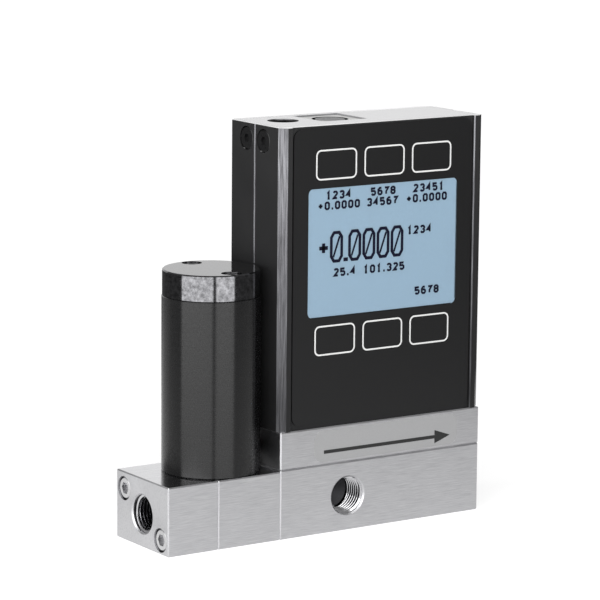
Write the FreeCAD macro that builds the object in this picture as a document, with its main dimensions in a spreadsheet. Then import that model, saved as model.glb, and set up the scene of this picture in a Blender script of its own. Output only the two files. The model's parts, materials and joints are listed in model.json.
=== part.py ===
import FreeCAD, Part
import os
import re
import Sketcher

V = FreeCAD.Vector

# Driving sizes in millimetres. X runs along the flow, the display faces -Y and Z is up.
SIZES = {
    # Blocks, laid end to end along the flow
    "inlet_len": 14.5,
    "valve_len": 18.3,
    "base_len": 61.7,
    "block_depth": 25.0,
    "valve_high": 17.5,
    "base_high": 17.8,
    "plate_high": 9.7,
    "edge_break": 0.3,
    # Ports and passages
    "inlet_axis": 8.4,
    "base_axis": 9.0,
    "pass_r": 1.6,
    "port_mouth_r": 5.17,
    "port_r": 4.8,
    "port_len": 10.0,
    "port_cone": 1.9,
    "side_port_x": 20.5,
    "side_port_len": 8.0,
    "mount_r": 1.75,
    "mount_len": 5.2,
    "mount_pitch": 33.0,
    "mount_lead": 0.35,
    # Rings between the blocks
    "gland_r": 3.4,
    "gland_deep": 1.0,
    "ring_wide": 1.3,
    "ring_gap": 0.12,
    # Screws: one size holds the blocks, a smaller one the shells, the cap and the boards
    "tap_gap": 0.04,
    "hole_gap": 0.2,
    "head_gap": 0.25,
    "block_screw_r": 1.7,
    "block_head_r": 2.8,
    "block_head_high": 3.5,
    "block_head_sink": 3.8,
    "block_socket": 2.8,
    "screw_edge": 3.7,
    "inlet_screw_z": 4.8,
    "inlet_screw_len": 35.6,
    "plate_screw_x": 11.0,
    "plate_screw_pitch": 38.0,
    "plate_screw_len": 20.0,
    "tap_spare": 0.8,
    "small_screw_r": 1.4,
    "small_head_r": 2.3,
    "small_head_high": 2.0,
    "small_head_sink": 2.4,
    "small_socket": 2.0,
    "shell_screw_len": 12.5,
    # Valve: seat, core tube, plunger and coil
    "valve_axis": 5.5,
    "feed_r": 0.9,
    "nozzle_r": 2.1,
    "nozzle_floor": 10.3,
    "chamber_floor": 12.0,
    "chamber_r": 4.2,
    "riser_r": 0.85,
    "riser_off": 3.2,
    "orifice_r": 0.6,
    "nozzle_lip": 1.5,
    "nozzle_high": 0.9,
    "stem_drop": 3.4,
    "stem_gap": 0.05,
    "flange_r": 6.9,
    "flange_high": 1.5,
    "tube_r": 4.0,
    "tube_bore": 3.1,
    "tube_high": 37.6,
    "core_ring_high": 1.2,
    "core_ring_deep": 0.55,
    "core_ring_drop": 2.6,
    "plunger_gap": 0.06,
    "plunger_len": 32.0,
    "plunger_lift": 0.5,
    "poppet_r": 1.7,
    "poppet_high": 1.0,
    "poppet_proud": 0.5,
    "spring_hole_r": 1.9,
    "spring_hole_deep": 8.0,
    "spring_wire": 0.3,
    "spring_r": 1.4,
    "spring_turns": 5.0,
    "stud_r": 2.4,
    "stud_high": 6.0,
    "weld_high": 1.0,
    "can_inset": 0.1,
    "can_wall": 4.7,
    "can_high": 44.5,
    "can_floor": 3.4,
    "can_step": 0.15,
    "cap_high": 6.6,
    "cap_top": 3.2,
    "cap_screw_edge": 3.1,
    "cap_screw_len": 7.5,
    "bobbin_wall": 0.8,
    "bobbin_flange": 1.2,
    "bobbin_gap": 0.1,
    "coil_high": 33.8,
    "coil_inset": 0.3,
    "washer_high": 2.4,
    "nut_across": 10.0,
    "nut_high": 2.6,
    "lead_r": 0.8,
    "lead_hole_r": 1.3,
    "lead_high": 5.3,
    "lead_turn": 12.0,
    "lead_rise": 12.0,
    "lead_bend": 3.0,
    "plug_wide": 3.6,
    "plug_high": 5.5,
    # Housing: two drawn shells that meet along the seam
    "shell_len": 62.3,
    "shell_high": 76.34,
    "shell_over": 0.2,
    "shell_inset": 0.1,
    "side_wall": 3.1,
    "face_wall": 2.5,
    "corner_break": 1.8,
    "seam_break": 0.3,
    "lap_thick": 0.9,
    "lap_deep": 1.2,
    "lap_gap": 0.1,
    "boss_in": 1.9,
    "boss_r": 2.9,
    "boss_short": 0.5,
    "panel_high": 8.0,
    "panel_gap": 0.05,
    "panel_rim": 1.3,
    "panel_lip": 0.6,
    "panel_screw_drop": 3.9,
    "panel_screw_off": 3.85,
    "panel_screw_len": 3.6,
    "panel_head_r": 2.75,
    "panel_head_high": 1.1,
    "panel_head_sink": 1.2,
    # Sockets in the connector panel
    "jack_x": 9.85,
    "jack_y": 2.3,
    "jack_hole_r": 4.0,
    "jack_sink": 0.6,
    "jack_bore": 2.9,
    "jack_pin": 0.7,
    "jack_wide": 9.0,
    "din_x": 24.3,
    "din_back": 0.7,
    "din_side": 13.2,
    "din_gap": 0.2,
    "din_sink": 0.4,
    "din_high": 9.9,
    "din_ring_r": 4.65,
    "din_core_r": 3.8,
    "din_ring_deep": 5.0,
    "din_pin_r": 0.45,
    "socket_high": 13.5,
    # Display and keypad
    "strip_wide": 3.4,
    "channel_deep": 0.9,
    "channel_break": 0.25,
    "film_gap": 0.45,
    "film_margin": 4.45,
    "overlay_high": 75.0,
    "overlay_low": 0.9,
    "overlay_r": 2.6,
    "overlay_thick": 0.4,
    "window_high": 32.7,
    "window_z": 44.4,
    "window_r": 1.5,
    "window_ledge": 0.6,
    "key_wide": 12.3,
    "key_high": 7.65,
    "key_r": 1.5,
    "key_pitch": 14.6,
    "key_row": 22.15,
    "key_proud": 0.06,
    "circuit_rim": 2.15,
    "circuit_high": 55.0,
    "circuit_thick": 0.3,
    "circuit_sink": 0.5,
    "dome_r": 3.4,
    "dome_high": 0.18,
    "glass_gap": 0.15,
    "glass_thick": 3.0,
    "frame_side": 0.85,
    "frame_end": 1.95,
    "frame_thick": 4.3,
    # Circuit boards on posts
    "board_thick": 1.6,
    "board_edge": 7.6,
    "board_low": 4.0,
    "display_board_high": 62.2,
    "main_board_high": 52.0,
    "post_r": 1.8,
    "main_post_len": 4.9,
    "post_in": 5.6,
    "post_low": 4.5,
    "post_top": 2.2,
    "board_screw_len": 4.0,
    "chip_high": 1.4,
    # Pressure sensor in the plate
    "sensor_x": 33.0,
    "sense_r": 0.8,
    "well_r": 6.6,
    "well_floor": 2.7,
    "sensor_r": 6.4,
    "sensor_base": 2.0,
    "sensor_can_r": 4.8,
    "sensor_can_high": 3.4,
    "sensor_ring_high": 2.0,
    "sensor_pin_r": 0.3,
    "sensor_pin_pitch": 2.54,
    "sensor_pin_rise": 4.0,
    # Flow label
    "label_x": 32.35,
    "label_wide": 44.6,
    "label_high": 8.2,
    "label_r": 2.8,
    "label_thick": 0.2,
}

doc = FreeCAD.newDocument("PressureController")
sheet = doc.addObject("Spreadsheet::Sheet", "Size")
for row, (alias, value) in enumerate(SIZES.items(), 1):
    sheet.set("A%d" % row, alias)
    sheet.set("B%d" % row, str(value))
    sheet.setAlias("B%d" % row, alias)
doc.recompute()

FUNCTIONS = ("sqrt", "cos", "sin", "tan", "min", "max")


def sized(text):
    """An expression whose words are cells of the size sheet."""
    def cell(found):
        word = found.group()
        return word if word in FUNCTIONS else "Size." + word
    return re.sub(r"[a-z][a-z_]*", cell, text)


ruler = doc.addObject("App::FeaturePython", "Ruler")
ruler.addProperty("App::PropertyFloat", "Reading")


def reading(text):
    """Present value of an expression, so that a sketch is drawn at its true size."""
    ruler.setExpression("Reading", sized(text))
    ruler.recompute()
    return ruler.Reading


def bind(item, prop, text):
    item.setExpression(prop, sized(text))


def bind_place(item, x="0", y="0", z="0"):
    for letter, text in zip("xyz", (x, y, z)):
        if text != "0":
            bind(item, "Placement.Base." + letter, text)


# Sketches
PLANES = {"XY": "XY_Plane", "XZ": "XZ_Plane", "YZ": "YZ_Plane"}


def new_body(label):
    body = doc.addObject("PartDesign::Body", label)
    body.Label = label
    return body


def new_sketch(body, plane, level="0", right="0", up="0"):
    """Sketch on one of the body's own origin planes, moved along its normal and within it."""
    sketch = body.newObject("Sketcher::SketchObject", body.Label + "_sketch")
    flat = [item for item in body.Origin.OriginFeatures if item.Role == PLANES[plane]][0]
    sketch.AttachmentSupport = (flat, "")
    sketch.MapMode = "FlatFace"
    for letter, text in zip("xyz", (right, up, level)):
        if text != "0":
            bind(sketch, "AttachmentOffset.Base." + letter, text)
    return sketch


def hold(sketch, kind, places, text):
    index = sketch.addConstraint(Sketcher.Constraint(kind, *places, reading(text)))
    bind(sketch, "Constraints[%d]" % index, text)


def hold_point(sketch, shape, spot, x, y):
    hold(sketch, "DistanceX", (-1, 1, shape, spot), x)
    hold(sketch, "DistanceY", (-1, 1, shape, spot), y)


def draw_outline(sketch, corners):
    """Closed outline through corners given as pairs of expressions."""
    spots = [V(reading(x), reading(y), 0) for x, y in corners]
    lines = [sketch.addGeometry(Part.LineSegment(a, b))
             for a, b in zip(spots, spots[1:] + spots[:1])]
    for line, following in zip(lines, lines[1:] + lines[:1]):
        sketch.addConstraint(Sketcher.Constraint("Coincident", line, 2, following, 1))
    for line, (x, y) in zip(lines, corners):
        hold_point(sketch, line, 1, x, y)


def draw_box(sketch, left, right, low, high):
    draw_outline(sketch, [(left, low), (right, low), (right, high), (left, high)])


def draw_circle(sketch, x, y, radius):
    centre = V(reading(x), reading(y), 0)
    circle = sketch.addGeometry(Part.Circle(centre, V(0, 0, 1), reading(radius)))
    hold_point(sketch, circle, 3, x, y)
    hold(sketch, "Radius", (circle,), radius)


def draw_round_box(sketch, left, right, low, high, radius):
    """Rectangle with round corners: four arcs about held centres, joined by tangent lines."""
    r = reading(radius)
    quarter = 1.5707963267948966
    centres = [("(%s) - (%s)" % (right, radius), "(%s) - (%s)" % (high, radius)),
               ("(%s) + (%s)" % (left, radius), "(%s) - (%s)" % (high, radius)),
               ("(%s) + (%s)" % (left, radius), "(%s) + (%s)" % (low, radius)),
               ("(%s) - (%s)" % (right, radius), "(%s) + (%s)" % (low, radius))]
    arcs = []
    for turn, (x, y) in enumerate(centres):
        ring = Part.Circle(V(reading(x), reading(y), 0), V(0, 0, 1), r)
        arcs.append(sketch.addGeometry(Part.ArcOfCircle(ring, turn * quarter, (turn + 1) * quarter)))
    lines = []
    for arc, following in zip(arcs, arcs[1:] + arcs[:1]):
        start = sketch.Geometry[arc].EndPoint
        end = sketch.Geometry[following].StartPoint
        lines.append(sketch.addGeometry(Part.LineSegment(start, end)))
    for arc, line, following in zip(arcs, lines, arcs[1:] + arcs[:1]):
        sketch.addConstraint(Sketcher.Constraint("Tangent", arc, 2, line, 1))
        sketch.addConstraint(Sketcher.Constraint("Tangent", line, 2, following, 1))
    for arc, (x, y) in zip(arcs, centres):
        hold_point(sketch, arc, 3, x, y)
        hold(sketch, "Radius", (arc,), radius)


def draw_hexagon(sketch, across):
    """Regular hexagon of a given size across its flats, standing on a point."""
    flat = across + " / 2"
    point = across + " / sqrt(3)"
    draw_outline(sketch, [("0", point), ("-" + flat, point + " / 2"), ("-" + flat, "-" + point + " / 2"),
                          ("0", "-" + point), (flat, "-" + point + " / 2"), (flat, point + " / 2")])


# Features
def pad(body, sketch, length, reverse=False):
    made = body.newObject("PartDesign::Pad", body.Label + "_pad")
    made.Profile = sketch
    made.Reversed = reverse
    bind(made, "Length", length)
    return made


def pocket(body, sketch, depth, reverse=False):
    made = body.newObject("PartDesign::Pocket", body.Label + "_pocket")
    made.Profile = sketch
    made.Reversed = reverse
    bind(made, "Length", depth)
    return made


def spin(body, sketch, kind="PartDesign::Revolution", axis="V_Axis"):
    made = body.newObject(kind, body.Label + "_turned")
    made.Profile = sketch
    made.ReferenceAxis = (sketch, [axis])
    made.Angle = 360.0
    return made


def edges_where(feature, wanted):
    return ["Edge%d" % count for count, edge in enumerate(feature.Shape.Edges, 1) if wanted(edge)]


def soften(body, feature, kind, size, wanted):
    """Fillet or chamfer on the edges of a feature that the test picks."""
    doc.recompute()
    made = body.newObject("PartDesign::" + kind, body.Label + "_" + kind.lower())
    made.Base = (feature, edges_where(feature, wanted))
    bind(made, "Radius" if kind == "Fillet" else "Size", size)
    return made


def turned(label, profile, x="0", y="0", z="0"):
    """Turned piece: a half profile of radius and height, spun about Z."""
    body = new_body(label)
    sketch = new_sketch(body, "XZ")
    draw_outline(sketch, profile)
    spin(body, sketch)
    bind_place(body, x, y, z)
    return body


def group(label, pieces):
    """Like pieces kept in one node as separate solids."""
    made = doc.addObject("Part::Compound", label)
    made.Label = label
    made.Links = pieces
    return made


def copies(label, piece, places, rotation=None):
    """Copies of one modelled piece, each at a bound place, kept as one node."""
    links = []
    for x, y, z in places:
        link = doc.addObject("App::Link", label + "_copy")
        link.LinkedObject = piece
        if rotation:
            link.Placement = FreeCAD.Placement(V(0, 0, 0), rotation)
        bind_place(link, x, y, z)
        links.append(link)
    return links


# Places of the pieces, each worked out from the sizes
START = "-(inlet_len + valve_len + shell_len - shell_over) / 2"
VALVE_START = START + " + inlet_len"
BASE_START = START + " + inlet_len + valve_len"
VALVE_X = VALVE_START + " + valve_axis"
PLATE_Z = "base_high"
SHELL_START = "(-shell_over)"
SHELL_X = BASE_START + " + " + SHELL_START
SHELL_Z = "base_high + plate_high"
BACK = "(block_depth / 2 - shell_inset)"
FRONT = "(shell_inset - block_depth / 2)"
SCREW_Y = "(block_depth / 2 - screw_edge)"
CAN_R = "(block_depth / 2 - can_inset)"
CAN_BORE = "(block_depth / 2 - can_inset - can_wall)"


def block(label, length, high, x, z="0"):
    """Machined bar of the common depth, with its edges broken."""
    body = new_body(label)
    sketch = new_sketch(body, "YZ")
    draw_box(sketch, "-block_depth / 2", "block_depth / 2", "0", high)
    bar = pad(body, sketch, length)
    soften(body, bar, "Chamfer", "edge_break", lambda edge: True)
    bind_place(body, x, "0", z)
    return body


def holes(body, plane, level, depth, spots, radius, reverse=False):
    sketch = new_sketch(body, plane, level)
    for x, y in spots:
        draw_circle(sketch, x, y, radius)
    return pocket(body, sketch, depth, reverse)


def port_profile(length):
    """Half profile of a pipe port: bevelled mouth, bore and drill point down to the passage."""
    return [("0", "0"), ("0", "port_mouth_r"),
            ("port_mouth_r - port_r", "port_r"), (length, "port_r"),
            (length + " + port_cone", "pass_r")]


INLET_SCREWS = [(SCREW_Y, "inlet_axis + inlet_screw_z"),
                ("-" + SCREW_Y, "inlet_axis - inlet_screw_z")]
PLATE_SCREWS = [(x, sign + SCREW_Y)
                for x in ("plate_screw_x", "plate_screw_x + plate_screw_pitch")
                for sign in ("", "-")]
SHELL_BOSSES = {"front": [(x, FRONT + " + face_wall + boss_in")
                          for x in ("side_wall + boss_in", "shell_len - side_wall - boss_in")],
                "back": [(x, BACK + " - face_wall - boss_in")
                         for x in ("side_wall + boss_in", "shell_len - side_wall - boss_in")]}


# Inlet block: pipe port on the end face, two counterbored screw holes, ring gland at the joint
inlet = block("inlet_block", "inlet_len", "valve_high", START)
port = new_sketch(inlet, "XZ", up="inlet_axis")
draw_outline(port, port_profile("port_len") + [
    ("inlet_len - gland_deep", "pass_r"), ("inlet_len - gland_deep", "gland_r"),
    ("inlet_len", "gland_r"), ("inlet_len", "0")])
spin(inlet, port, "PartDesign::Groove", "H_Axis")
holes(inlet, "YZ", "0", "block_head_sink", INLET_SCREWS, "block_head_r + head_gap", True)
holes(inlet, "YZ", "0", "inlet_len", INLET_SCREWS, "block_screw_r + hole_gap", True)

# Valve block: feed passage, seat well under the coil, riser and outlet passage
valve = block("valve_block", "valve_len", "valve_high", VALVE_START)
well = new_sketch(valve, "XZ", right="valve_axis")
draw_outline(well, [("0", "inlet_axis"), ("feed_r", "inlet_axis"), ("feed_r", "nozzle_floor"),
                    ("nozzle_r", "nozzle_floor"), ("nozzle_r", "chamber_floor"),
                    ("chamber_r", "chamber_floor"), ("chamber_r", "valve_high"), ("0", "valve_high")])
spin(valve, well, "PartDesign::Groove")
holes(valve, "YZ", "0", "valve_axis + feed_r", [("0", "inlet_axis")], "pass_r", True)
holes(valve, "YZ", "valve_len", "valve_len - valve_axis - riser_off + 0.5 * riser_r",
      [("0", "base_axis")], "pass_r")
holes(valve, "XY", "chamber_floor", "chamber_floor - base_axis",
      [("valve_axis + riser_off", "0")], "riser_r")
holes(valve, "YZ", "valve_len", "gland_deep", [("0", "base_axis")], "gland_r")
holes(valve, "YZ", "0", "valve_len", INLET_SCREWS, "block_screw_r + hole_gap", True)

# Base block: main passage, outlet port on the end, side port in front, holes for the screws
base = block("base_block", "base_len", "base_high", BASE_START)
holes(base, "YZ", "0", "base_len - port_len", [("0", "base_axis")], "pass_r", True)
outlet = new_sketch(base, "XZ", right="base_len", up="base_axis")
draw_outline(outlet, [("-(%s)" % along, out) for along, out in port_profile("port_len")]
             + [("-(port_len + port_cone)", "0")])
spin(base, outlet, "PartDesign::Groove", "H_Axis")
side_port = new_sketch(base, "XY", "base_axis", "side_port_x", "-block_depth / 2")
draw_outline(side_port, [(out, along) for along, out in port_profile("side_port_len")]
             + [("pass_r", "block_depth / 2"), ("0", "block_depth / 2")])
spin(base, side_port, "PartDesign::Groove")
holes(base, "YZ", "0", "block_head_sink + inlet_screw_len + tap_spare - inlet_len - valve_len",
      INLET_SCREWS, "block_screw_r + tap_gap", True)
holes(base, "XY", "0", "base_high", PLATE_SCREWS, "block_screw_r + hole_gap", True)
holes(base, "XY", "0", "block_head_sink", PLATE_SCREWS, "block_head_r + head_gap", True)
holes(base, "XY", "base_high", "base_high - base_axis", [("sensor_x", "0")], "sense_r")
for sign in "-+":
    thread = new_sketch(base, "XZ", right="base_len / 2 %s mount_pitch / 2" % sign)
    draw_outline(thread, [("0", "0"), ("mount_r + mount_lead", "0"), ("mount_r", "mount_lead"),
                          ("mount_r", "mount_len"), ("0", "mount_len")])
    spin(base, thread, "PartDesign::Groove")

# Adapter plate: carries the housing, holds the sensor well, the lead duct and the label recess
plate = block("adapter_plate", "base_len", "plate_high", BASE_START, PLATE_Z)
recess = new_sketch(plate, "XZ", "block_depth / 2")
draw_round_box(recess, "label_x - label_wide / 2", "label_x + label_wide / 2",
               "plate_high / 2 - label_high / 2", "plate_high / 2 + label_high / 2", "label_r")
pocket(plate, recess, "label_thick")
holes(plate, "XY", "plate_high", "plate_high - well_floor", [("sensor_x", "0")], "well_r")
holes(plate, "XY", "well_floor", "gland_deep", [("sensor_x", "0")], "gland_r")
holes(plate, "XY", "well_floor", "well_floor", [("sensor_x", "0")], "sense_r")
holes(plate, "XY", "0", "gland_deep", [("sensor_x", "0")], "gland_r", True)
holes(plate, "XY", "0", "block_head_sink + plate_screw_len + tap_spare - base_high",
      PLATE_SCREWS, "block_screw_r + tap_gap", True)
plate_bosses = [("%s + %s" % (x, SHELL_START), y) for x, y in SHELL_BOSSES["front"] + SHELL_BOSSES["back"]]
holes(plate, "XY", "0", "plate_high", plate_bosses, "small_screw_r + hole_gap", True)
holes(plate, "XY", "0", "small_head_sink", plate_bosses, "small_head_r + head_gap", True)
holes(plate, "YZ", "0", "lead_turn + lead_hole_r", [("0", "lead_high")], "lead_hole_r", True)
holes(plate, "XY", "plate_high", "plate_high - lead_high", [("lead_turn", "0")],
      "lead_bend + lead_r")

# Flow label: thin plate let into the front of the adapter plate
label = new_body("flow_label")
face = new_sketch(label, "XZ", "block_depth / 2")
draw_round_box(face, "label_x - label_wide / 2", "label_x + label_wide / 2",
               "plate_high / 2 - label_high / 2", "plate_high / 2 + label_high / 2", "label_r")
pad(label, face, "label_thick", True)
bind_place(label, BASE_START, "0", PLATE_Z)


def ring(label, outer, high, x, y="0", z="0", lying=True):
    """Rubber ring squeezed flat between two faces."""
    body = new_body(label)
    sketch = new_sketch(body, "XZ")
    draw_round_box(sketch, outer + " - ring_wide", outer, "0", high, "0.45 * " + high)
    spin(body, sketch)
    if not lying:
        body.Placement = FreeCAD.Placement(V(0, 0, 0), FreeCAD.Rotation(V(0, 1, 0), -90))
    bind_place(body, x, y, z)
    return body


ring("inlet_seal", "gland_r - ring_gap", "gland_deep", VALVE_START, "0", "inlet_axis", False)
ring("base_seal", "gland_r - ring_gap", "gland_deep", BASE_START, "0", "base_axis", False)
ring("plate_seal", "gland_r - ring_gap", "gland_deep", BASE_START + " + sensor_x", "0", PLATE_Z)
ring("sensor_seal", "gland_r - ring_gap", "gland_deep", BASE_START + " + sensor_x", "0",
     PLATE_Z + " + well_floor - gland_deep")


def socket_screw(label, radius, length, head_r, head_high, across, places, rotation=None):
    """Cap screws of one size: head up from the origin, shank down, hexagon socket."""
    body = new_body(label + "_pattern")
    sketch = new_sketch(body, "XZ")
    draw_outline(sketch, [("0", "-(%s)" % length), ("0.8 * " + radius, "-(%s)" % length),
                          (radius, "-(%s) + 0.3 * %s" % (length, radius)), (radius, "0"),
                          (head_r, "0"), (head_r, "0.9 * " + head_high),
                          (head_r + " - 0.1 * " + head_high, head_high), ("0", head_high)])
    spin(body, sketch)
    drive = new_sketch(body, "XY", head_high)
    draw_hexagon(drive, across)
    pocket(body, drive, "0.55 * " + head_high)
    return group(label, copies(label, body, places, rotation))


DOWN = FreeCAD.Rotation(V(1, 0, 0), 180)
TO_LEFT = FreeCAD.Rotation(V(0, 1, 0), -90)
TO_RIGHT = FreeCAD.Rotation(V(0, 1, 0), 90)
TO_FRONT = FreeCAD.Rotation(V(1, 0, 0), 90)
TO_BACK = FreeCAD.Rotation(V(1, 0, 0), -90)

BLOCK_SCREW = ("block_head_r", "block_head_high", "block_socket")
SMALL_SCREW = ("small_head_r", "small_head_high", "small_socket")
socket_screw("inlet_screws", "block_screw_r", "inlet_screw_len", *BLOCK_SCREW,
             [(START + " + block_head_sink", y, z) for y, z in INLET_SCREWS], TO_LEFT)
socket_screw("plate_screws", "block_screw_r", "plate_screw_len", *BLOCK_SCREW,
             [(BASE_START + " + " + x, y, "block_head_sink") for x, y in PLATE_SCREWS], DOWN)
socket_screw("shell_screws", "small_screw_r", "shell_screw_len", *SMALL_SCREW,
             [(BASE_START + " + " + x, y, PLATE_Z + " + small_head_sink") for x, y in plate_bosses],
             DOWN)

# Valve seat: turned nozzle pressed into the block
turned("orifice", [("orifice_r", "0"), ("nozzle_r", "0"), ("nozzle_r", "chamber_floor - nozzle_floor"),
                   ("nozzle_lip", "chamber_floor - nozzle_floor"),
                   ("nozzle_lip - 0.5 * orifice_r", "chamber_floor - nozzle_floor + nozzle_high"),
                   ("orifice_r", "chamber_floor - nozzle_floor + nozzle_high")],
       VALVE_X, "0", "nozzle_floor")

# Core tube: stem screwed into the block, flange on its top face, thin tube that guides the plunger
SEAT_Z = "chamber_floor + nozzle_high"
STEM_R = "chamber_r - stem_gap"
turned("core_tube", [("tube_bore", "-stem_drop"), (STEM_R, "-stem_drop"),
                     (STEM_R, "-core_ring_drop"), (STEM_R + " - core_ring_deep", "-core_ring_drop"),
                     (STEM_R + " - core_ring_deep", "-core_ring_drop + core_ring_high"),
                     (STEM_R, "-core_ring_drop + core_ring_high"), (STEM_R, "0"), ("flange_r", "0"),
                     ("flange_r", "flange_high"), ("tube_r", "flange_high"), ("tube_r", "tube_high"),
                     ("tube_bore", "tube_high")], VALVE_X, "0", "valve_high")

# Core seal: ring in the stem's groove, squeezed against the well
seal = new_body("core_seal")
section = new_sketch(seal, "XZ")
draw_round_box(section, STEM_R + " - core_ring_deep", STEM_R, "ring_gap", "core_ring_high - ring_gap",
               "0.4 * core_ring_deep")
spin(seal, section)
bind_place(seal, VALVE_X, "0", "valve_high - core_ring_drop")

# Plunger with its rubber poppet, and the fixed pole that closes the tube
PLUNGER_R = "tube_bore - plunger_gap"
PLUNGER_Z = SEAT_Z + " + poppet_proud"
POLE_Z = PLUNGER_Z + " + plunger_len + plunger_lift"
plunger = turned("plunger", [
    ("0", "poppet_high - poppet_proud"), ("poppet_r", "poppet_high - poppet_proud"),
    ("poppet_r", "0"), (PLUNGER_R + " - edge_break", "0"), (PLUNGER_R, "edge_break"),
    (PLUNGER_R, "plunger_len"), ("spring_hole_r", "plunger_len"),
    ("spring_hole_r", "plunger_len - spring_hole_deep"), ("0", "plunger_len - spring_hole_deep")],
    VALVE_X, "0", PLUNGER_Z)
turned("poppet_seal", [("0", "0"), ("poppet_r", "0"), ("poppet_r", "poppet_high"), ("0", "poppet_high")],
       VALVE_X, "0", SEAT_Z)
POLE_LEN = "valve_high + tube_high - (%s)" % POLE_Z
turned("pole_piece", [
    ("0", "0"), ("tube_bore", "0"), ("tube_bore", POLE_LEN), ("tube_r", POLE_LEN),
    ("tube_r", POLE_LEN + " + weld_high"), ("stud_r", POLE_LEN + " + weld_high"),
    ("stud_r", POLE_LEN + " + weld_high + stud_high"), ("0", POLE_LEN + " + weld_high + stud_high")],
    VALVE_X, "0", POLE_Z)

# Plunger spring: round wire wound on a helix between the plunger and the pole
SPRING_LEN = "(spring_hole_deep + plunger_lift - 2 * spring_wire)"
helix = doc.addObject("Part::Helix", "SpringPath")
bind(helix, "Radius", "spring_r")
bind(helix, "Pitch", SPRING_LEN + " / spring_turns")
bind(helix, "Height", SPRING_LEN)
wire = doc.addObject("Part::Circle", "SpringWire")
wire.Placement = FreeCAD.Placement(V(0, 0, 0), FreeCAD.Rotation(V(1, 0, 0), 90))
bind(wire, "Radius", "spring_wire")
bind(wire, "Placement.Base.x", "spring_r")
spring = doc.addObject("Part::Sweep", "plunger_spring")
spring.Label = "plunger_spring"
spring.Sections = [wire]
spring.Spine = (helix, [])
spring.Solid = True
spring.Frenet = True
bind_place(spring, VALVE_X, "0", PLUNGER_Z + " + plunger_len - spring_hole_deep + spring_wire")

# Valve can: thick steel cup with a stepped floor hole over the core flange
can = turned("valve_can", [
    ("tube_r + bobbin_gap", "flange_high + bobbin_gap"),
    ("flange_r + bobbin_gap", "flange_high + bobbin_gap"),
    ("flange_r + bobbin_gap", "0"), (CAN_R + " - edge_break", "0"), (CAN_R, "edge_break"),
    (CAN_R, "can_high - 0.5 * edge_break"), (CAN_R + " - 0.5 * edge_break", "can_high"),
    (CAN_BORE, "can_high"), (CAN_BORE, "can_floor"), ("tube_r + bobbin_gap", "can_floor")],
    VALVE_X, "0", "valve_high")
CAP_SCREWS = [("0", sign + "(%s - cap_screw_edge)" % CAN_R) for sign in ("", "-")]
CAP_TAP = "cap_screw_len + small_head_sink + tap_spare - cap_high"
holes(can, "XY", "can_high", CAP_TAP, CAP_SCREWS, "small_screw_r + tap_gap")
holes(can, "YZ", "0", CAN_R, [("0", "base_high + lead_high - valve_high")], "lead_hole_r", True)

# Valve cap: closes the can, screwed down on both sides
cap = turned("valve_cap", [
    ("0", "cap_high - cap_top"), (CAN_BORE + " - hole_gap", "cap_high - cap_top"),
    (CAN_BORE + " - hole_gap", "0"), (CAN_R + " - can_step - 0.5 * edge_break", "0"),
    (CAN_R + " - can_step", "0.5 * edge_break"), (CAN_R + " - can_step", "cap_high - edge_break"),
    (CAN_R + " - can_step - edge_break", "cap_high"), ("0", "cap_high")],
    VALVE_X, "0", "valve_high + can_high")
holes(cap, "XY", "0", "cap_high", CAP_SCREWS, "small_screw_r + hole_gap", True)
holes(cap, "XY", "cap_high", "small_head_sink", CAP_SCREWS, "small_head_r + head_gap")
socket_screw("cap_screws", "small_screw_r", "cap_screw_len", *SMALL_SCREW,
             [(VALVE_X, y, "valve_high + can_high + cap_high - small_head_sink")
              for x, y in CAP_SCREWS])

# Coil: moulded bobbin, winding, flux washer and the nut that clamps them down
BOBBIN_Z = "valve_high + can_floor"
BOBBIN_BORE = "tube_r + bobbin_gap"
BOBBIN_R = "(%s - bobbin_gap)" % CAN_BORE
turned("coil_bobbin", [
    (BOBBIN_BORE, "0"), (BOBBIN_R, "0"), (BOBBIN_R, "bobbin_flange"),
    (BOBBIN_BORE + " + bobbin_wall", "bobbin_flange"),
    (BOBBIN_BORE + " + bobbin_wall", "coil_high - bobbin_flange"),
    (BOBBIN_R, "coil_high - bobbin_flange"), (BOBBIN_R, "coil_high"), (BOBBIN_BORE, "coil_high")],
    VALVE_X, "0", BOBBIN_Z)
turned("coil_winding", [
    (BOBBIN_BORE + " + bobbin_wall", "bobbin_flange"), (BOBBIN_R + " - coil_inset", "bobbin_flange"),
    (BOBBIN_R + " - coil_inset", "coil_high - bobbin_flange"),
    (BOBBIN_BORE + " + bobbin_wall", "coil_high - bobbin_flange")], VALVE_X, "0", BOBBIN_Z)
turned("flux_washer", [(BOBBIN_BORE, "0"), (BOBBIN_R, "0"), (BOBBIN_R, "washer_high"),
                       (BOBBIN_BORE, "washer_high")], VALVE_X, "0", BOBBIN_Z + " + coil_high")
nut = new_body("coil_nut")
hexagon = new_sketch(nut, "XY")
draw_hexagon(hexagon, "nut_across")
pad(nut, hexagon, "nut_high")
holes(nut, "XY", "0", "nut_high", [("0", "0")], "stud_r + tap_gap", True)
bind_place(nut, VALVE_X, "0", BOBBIN_Z + " + coil_high + washer_high")

# Lead: from the coil through the can wall, along the plate's duct and up into the housing
LEAD_Z = "base_high + lead_high"
lead_start = V(reading(VALVE_X + " + " + BOBBIN_R + " - coil_inset"), 0, reading(LEAD_Z))
lead_corner = V(reading(BASE_START + " + lead_turn"), 0, reading(LEAD_Z))
lead_top = V(lead_corner.x, 0, reading(SHELL_Z + " + lead_rise"))
bend = reading("lead_bend")
bend_in = lead_corner - V(bend, 0, 0)
bend_out = lead_corner + V(0, 0, bend)
bend_mid = bend_out - V(bend, 0, 0) + V(bend, 0, -bend) * 0.7071067811865476
lead_path = Part.Wire([Part.LineSegment(lead_start, bend_in).toShape(),
                       Part.Arc(bend_in, bend_mid, bend_out).toShape(),
                       Part.LineSegment(bend_out, lead_top).toShape()])
lead_section = Part.Wire([Part.Circle(lead_start, V(1, 0, 0), reading("lead_r")).toShape()])
lead = doc.addObject("Part::Feature", "coil_lead")
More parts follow.
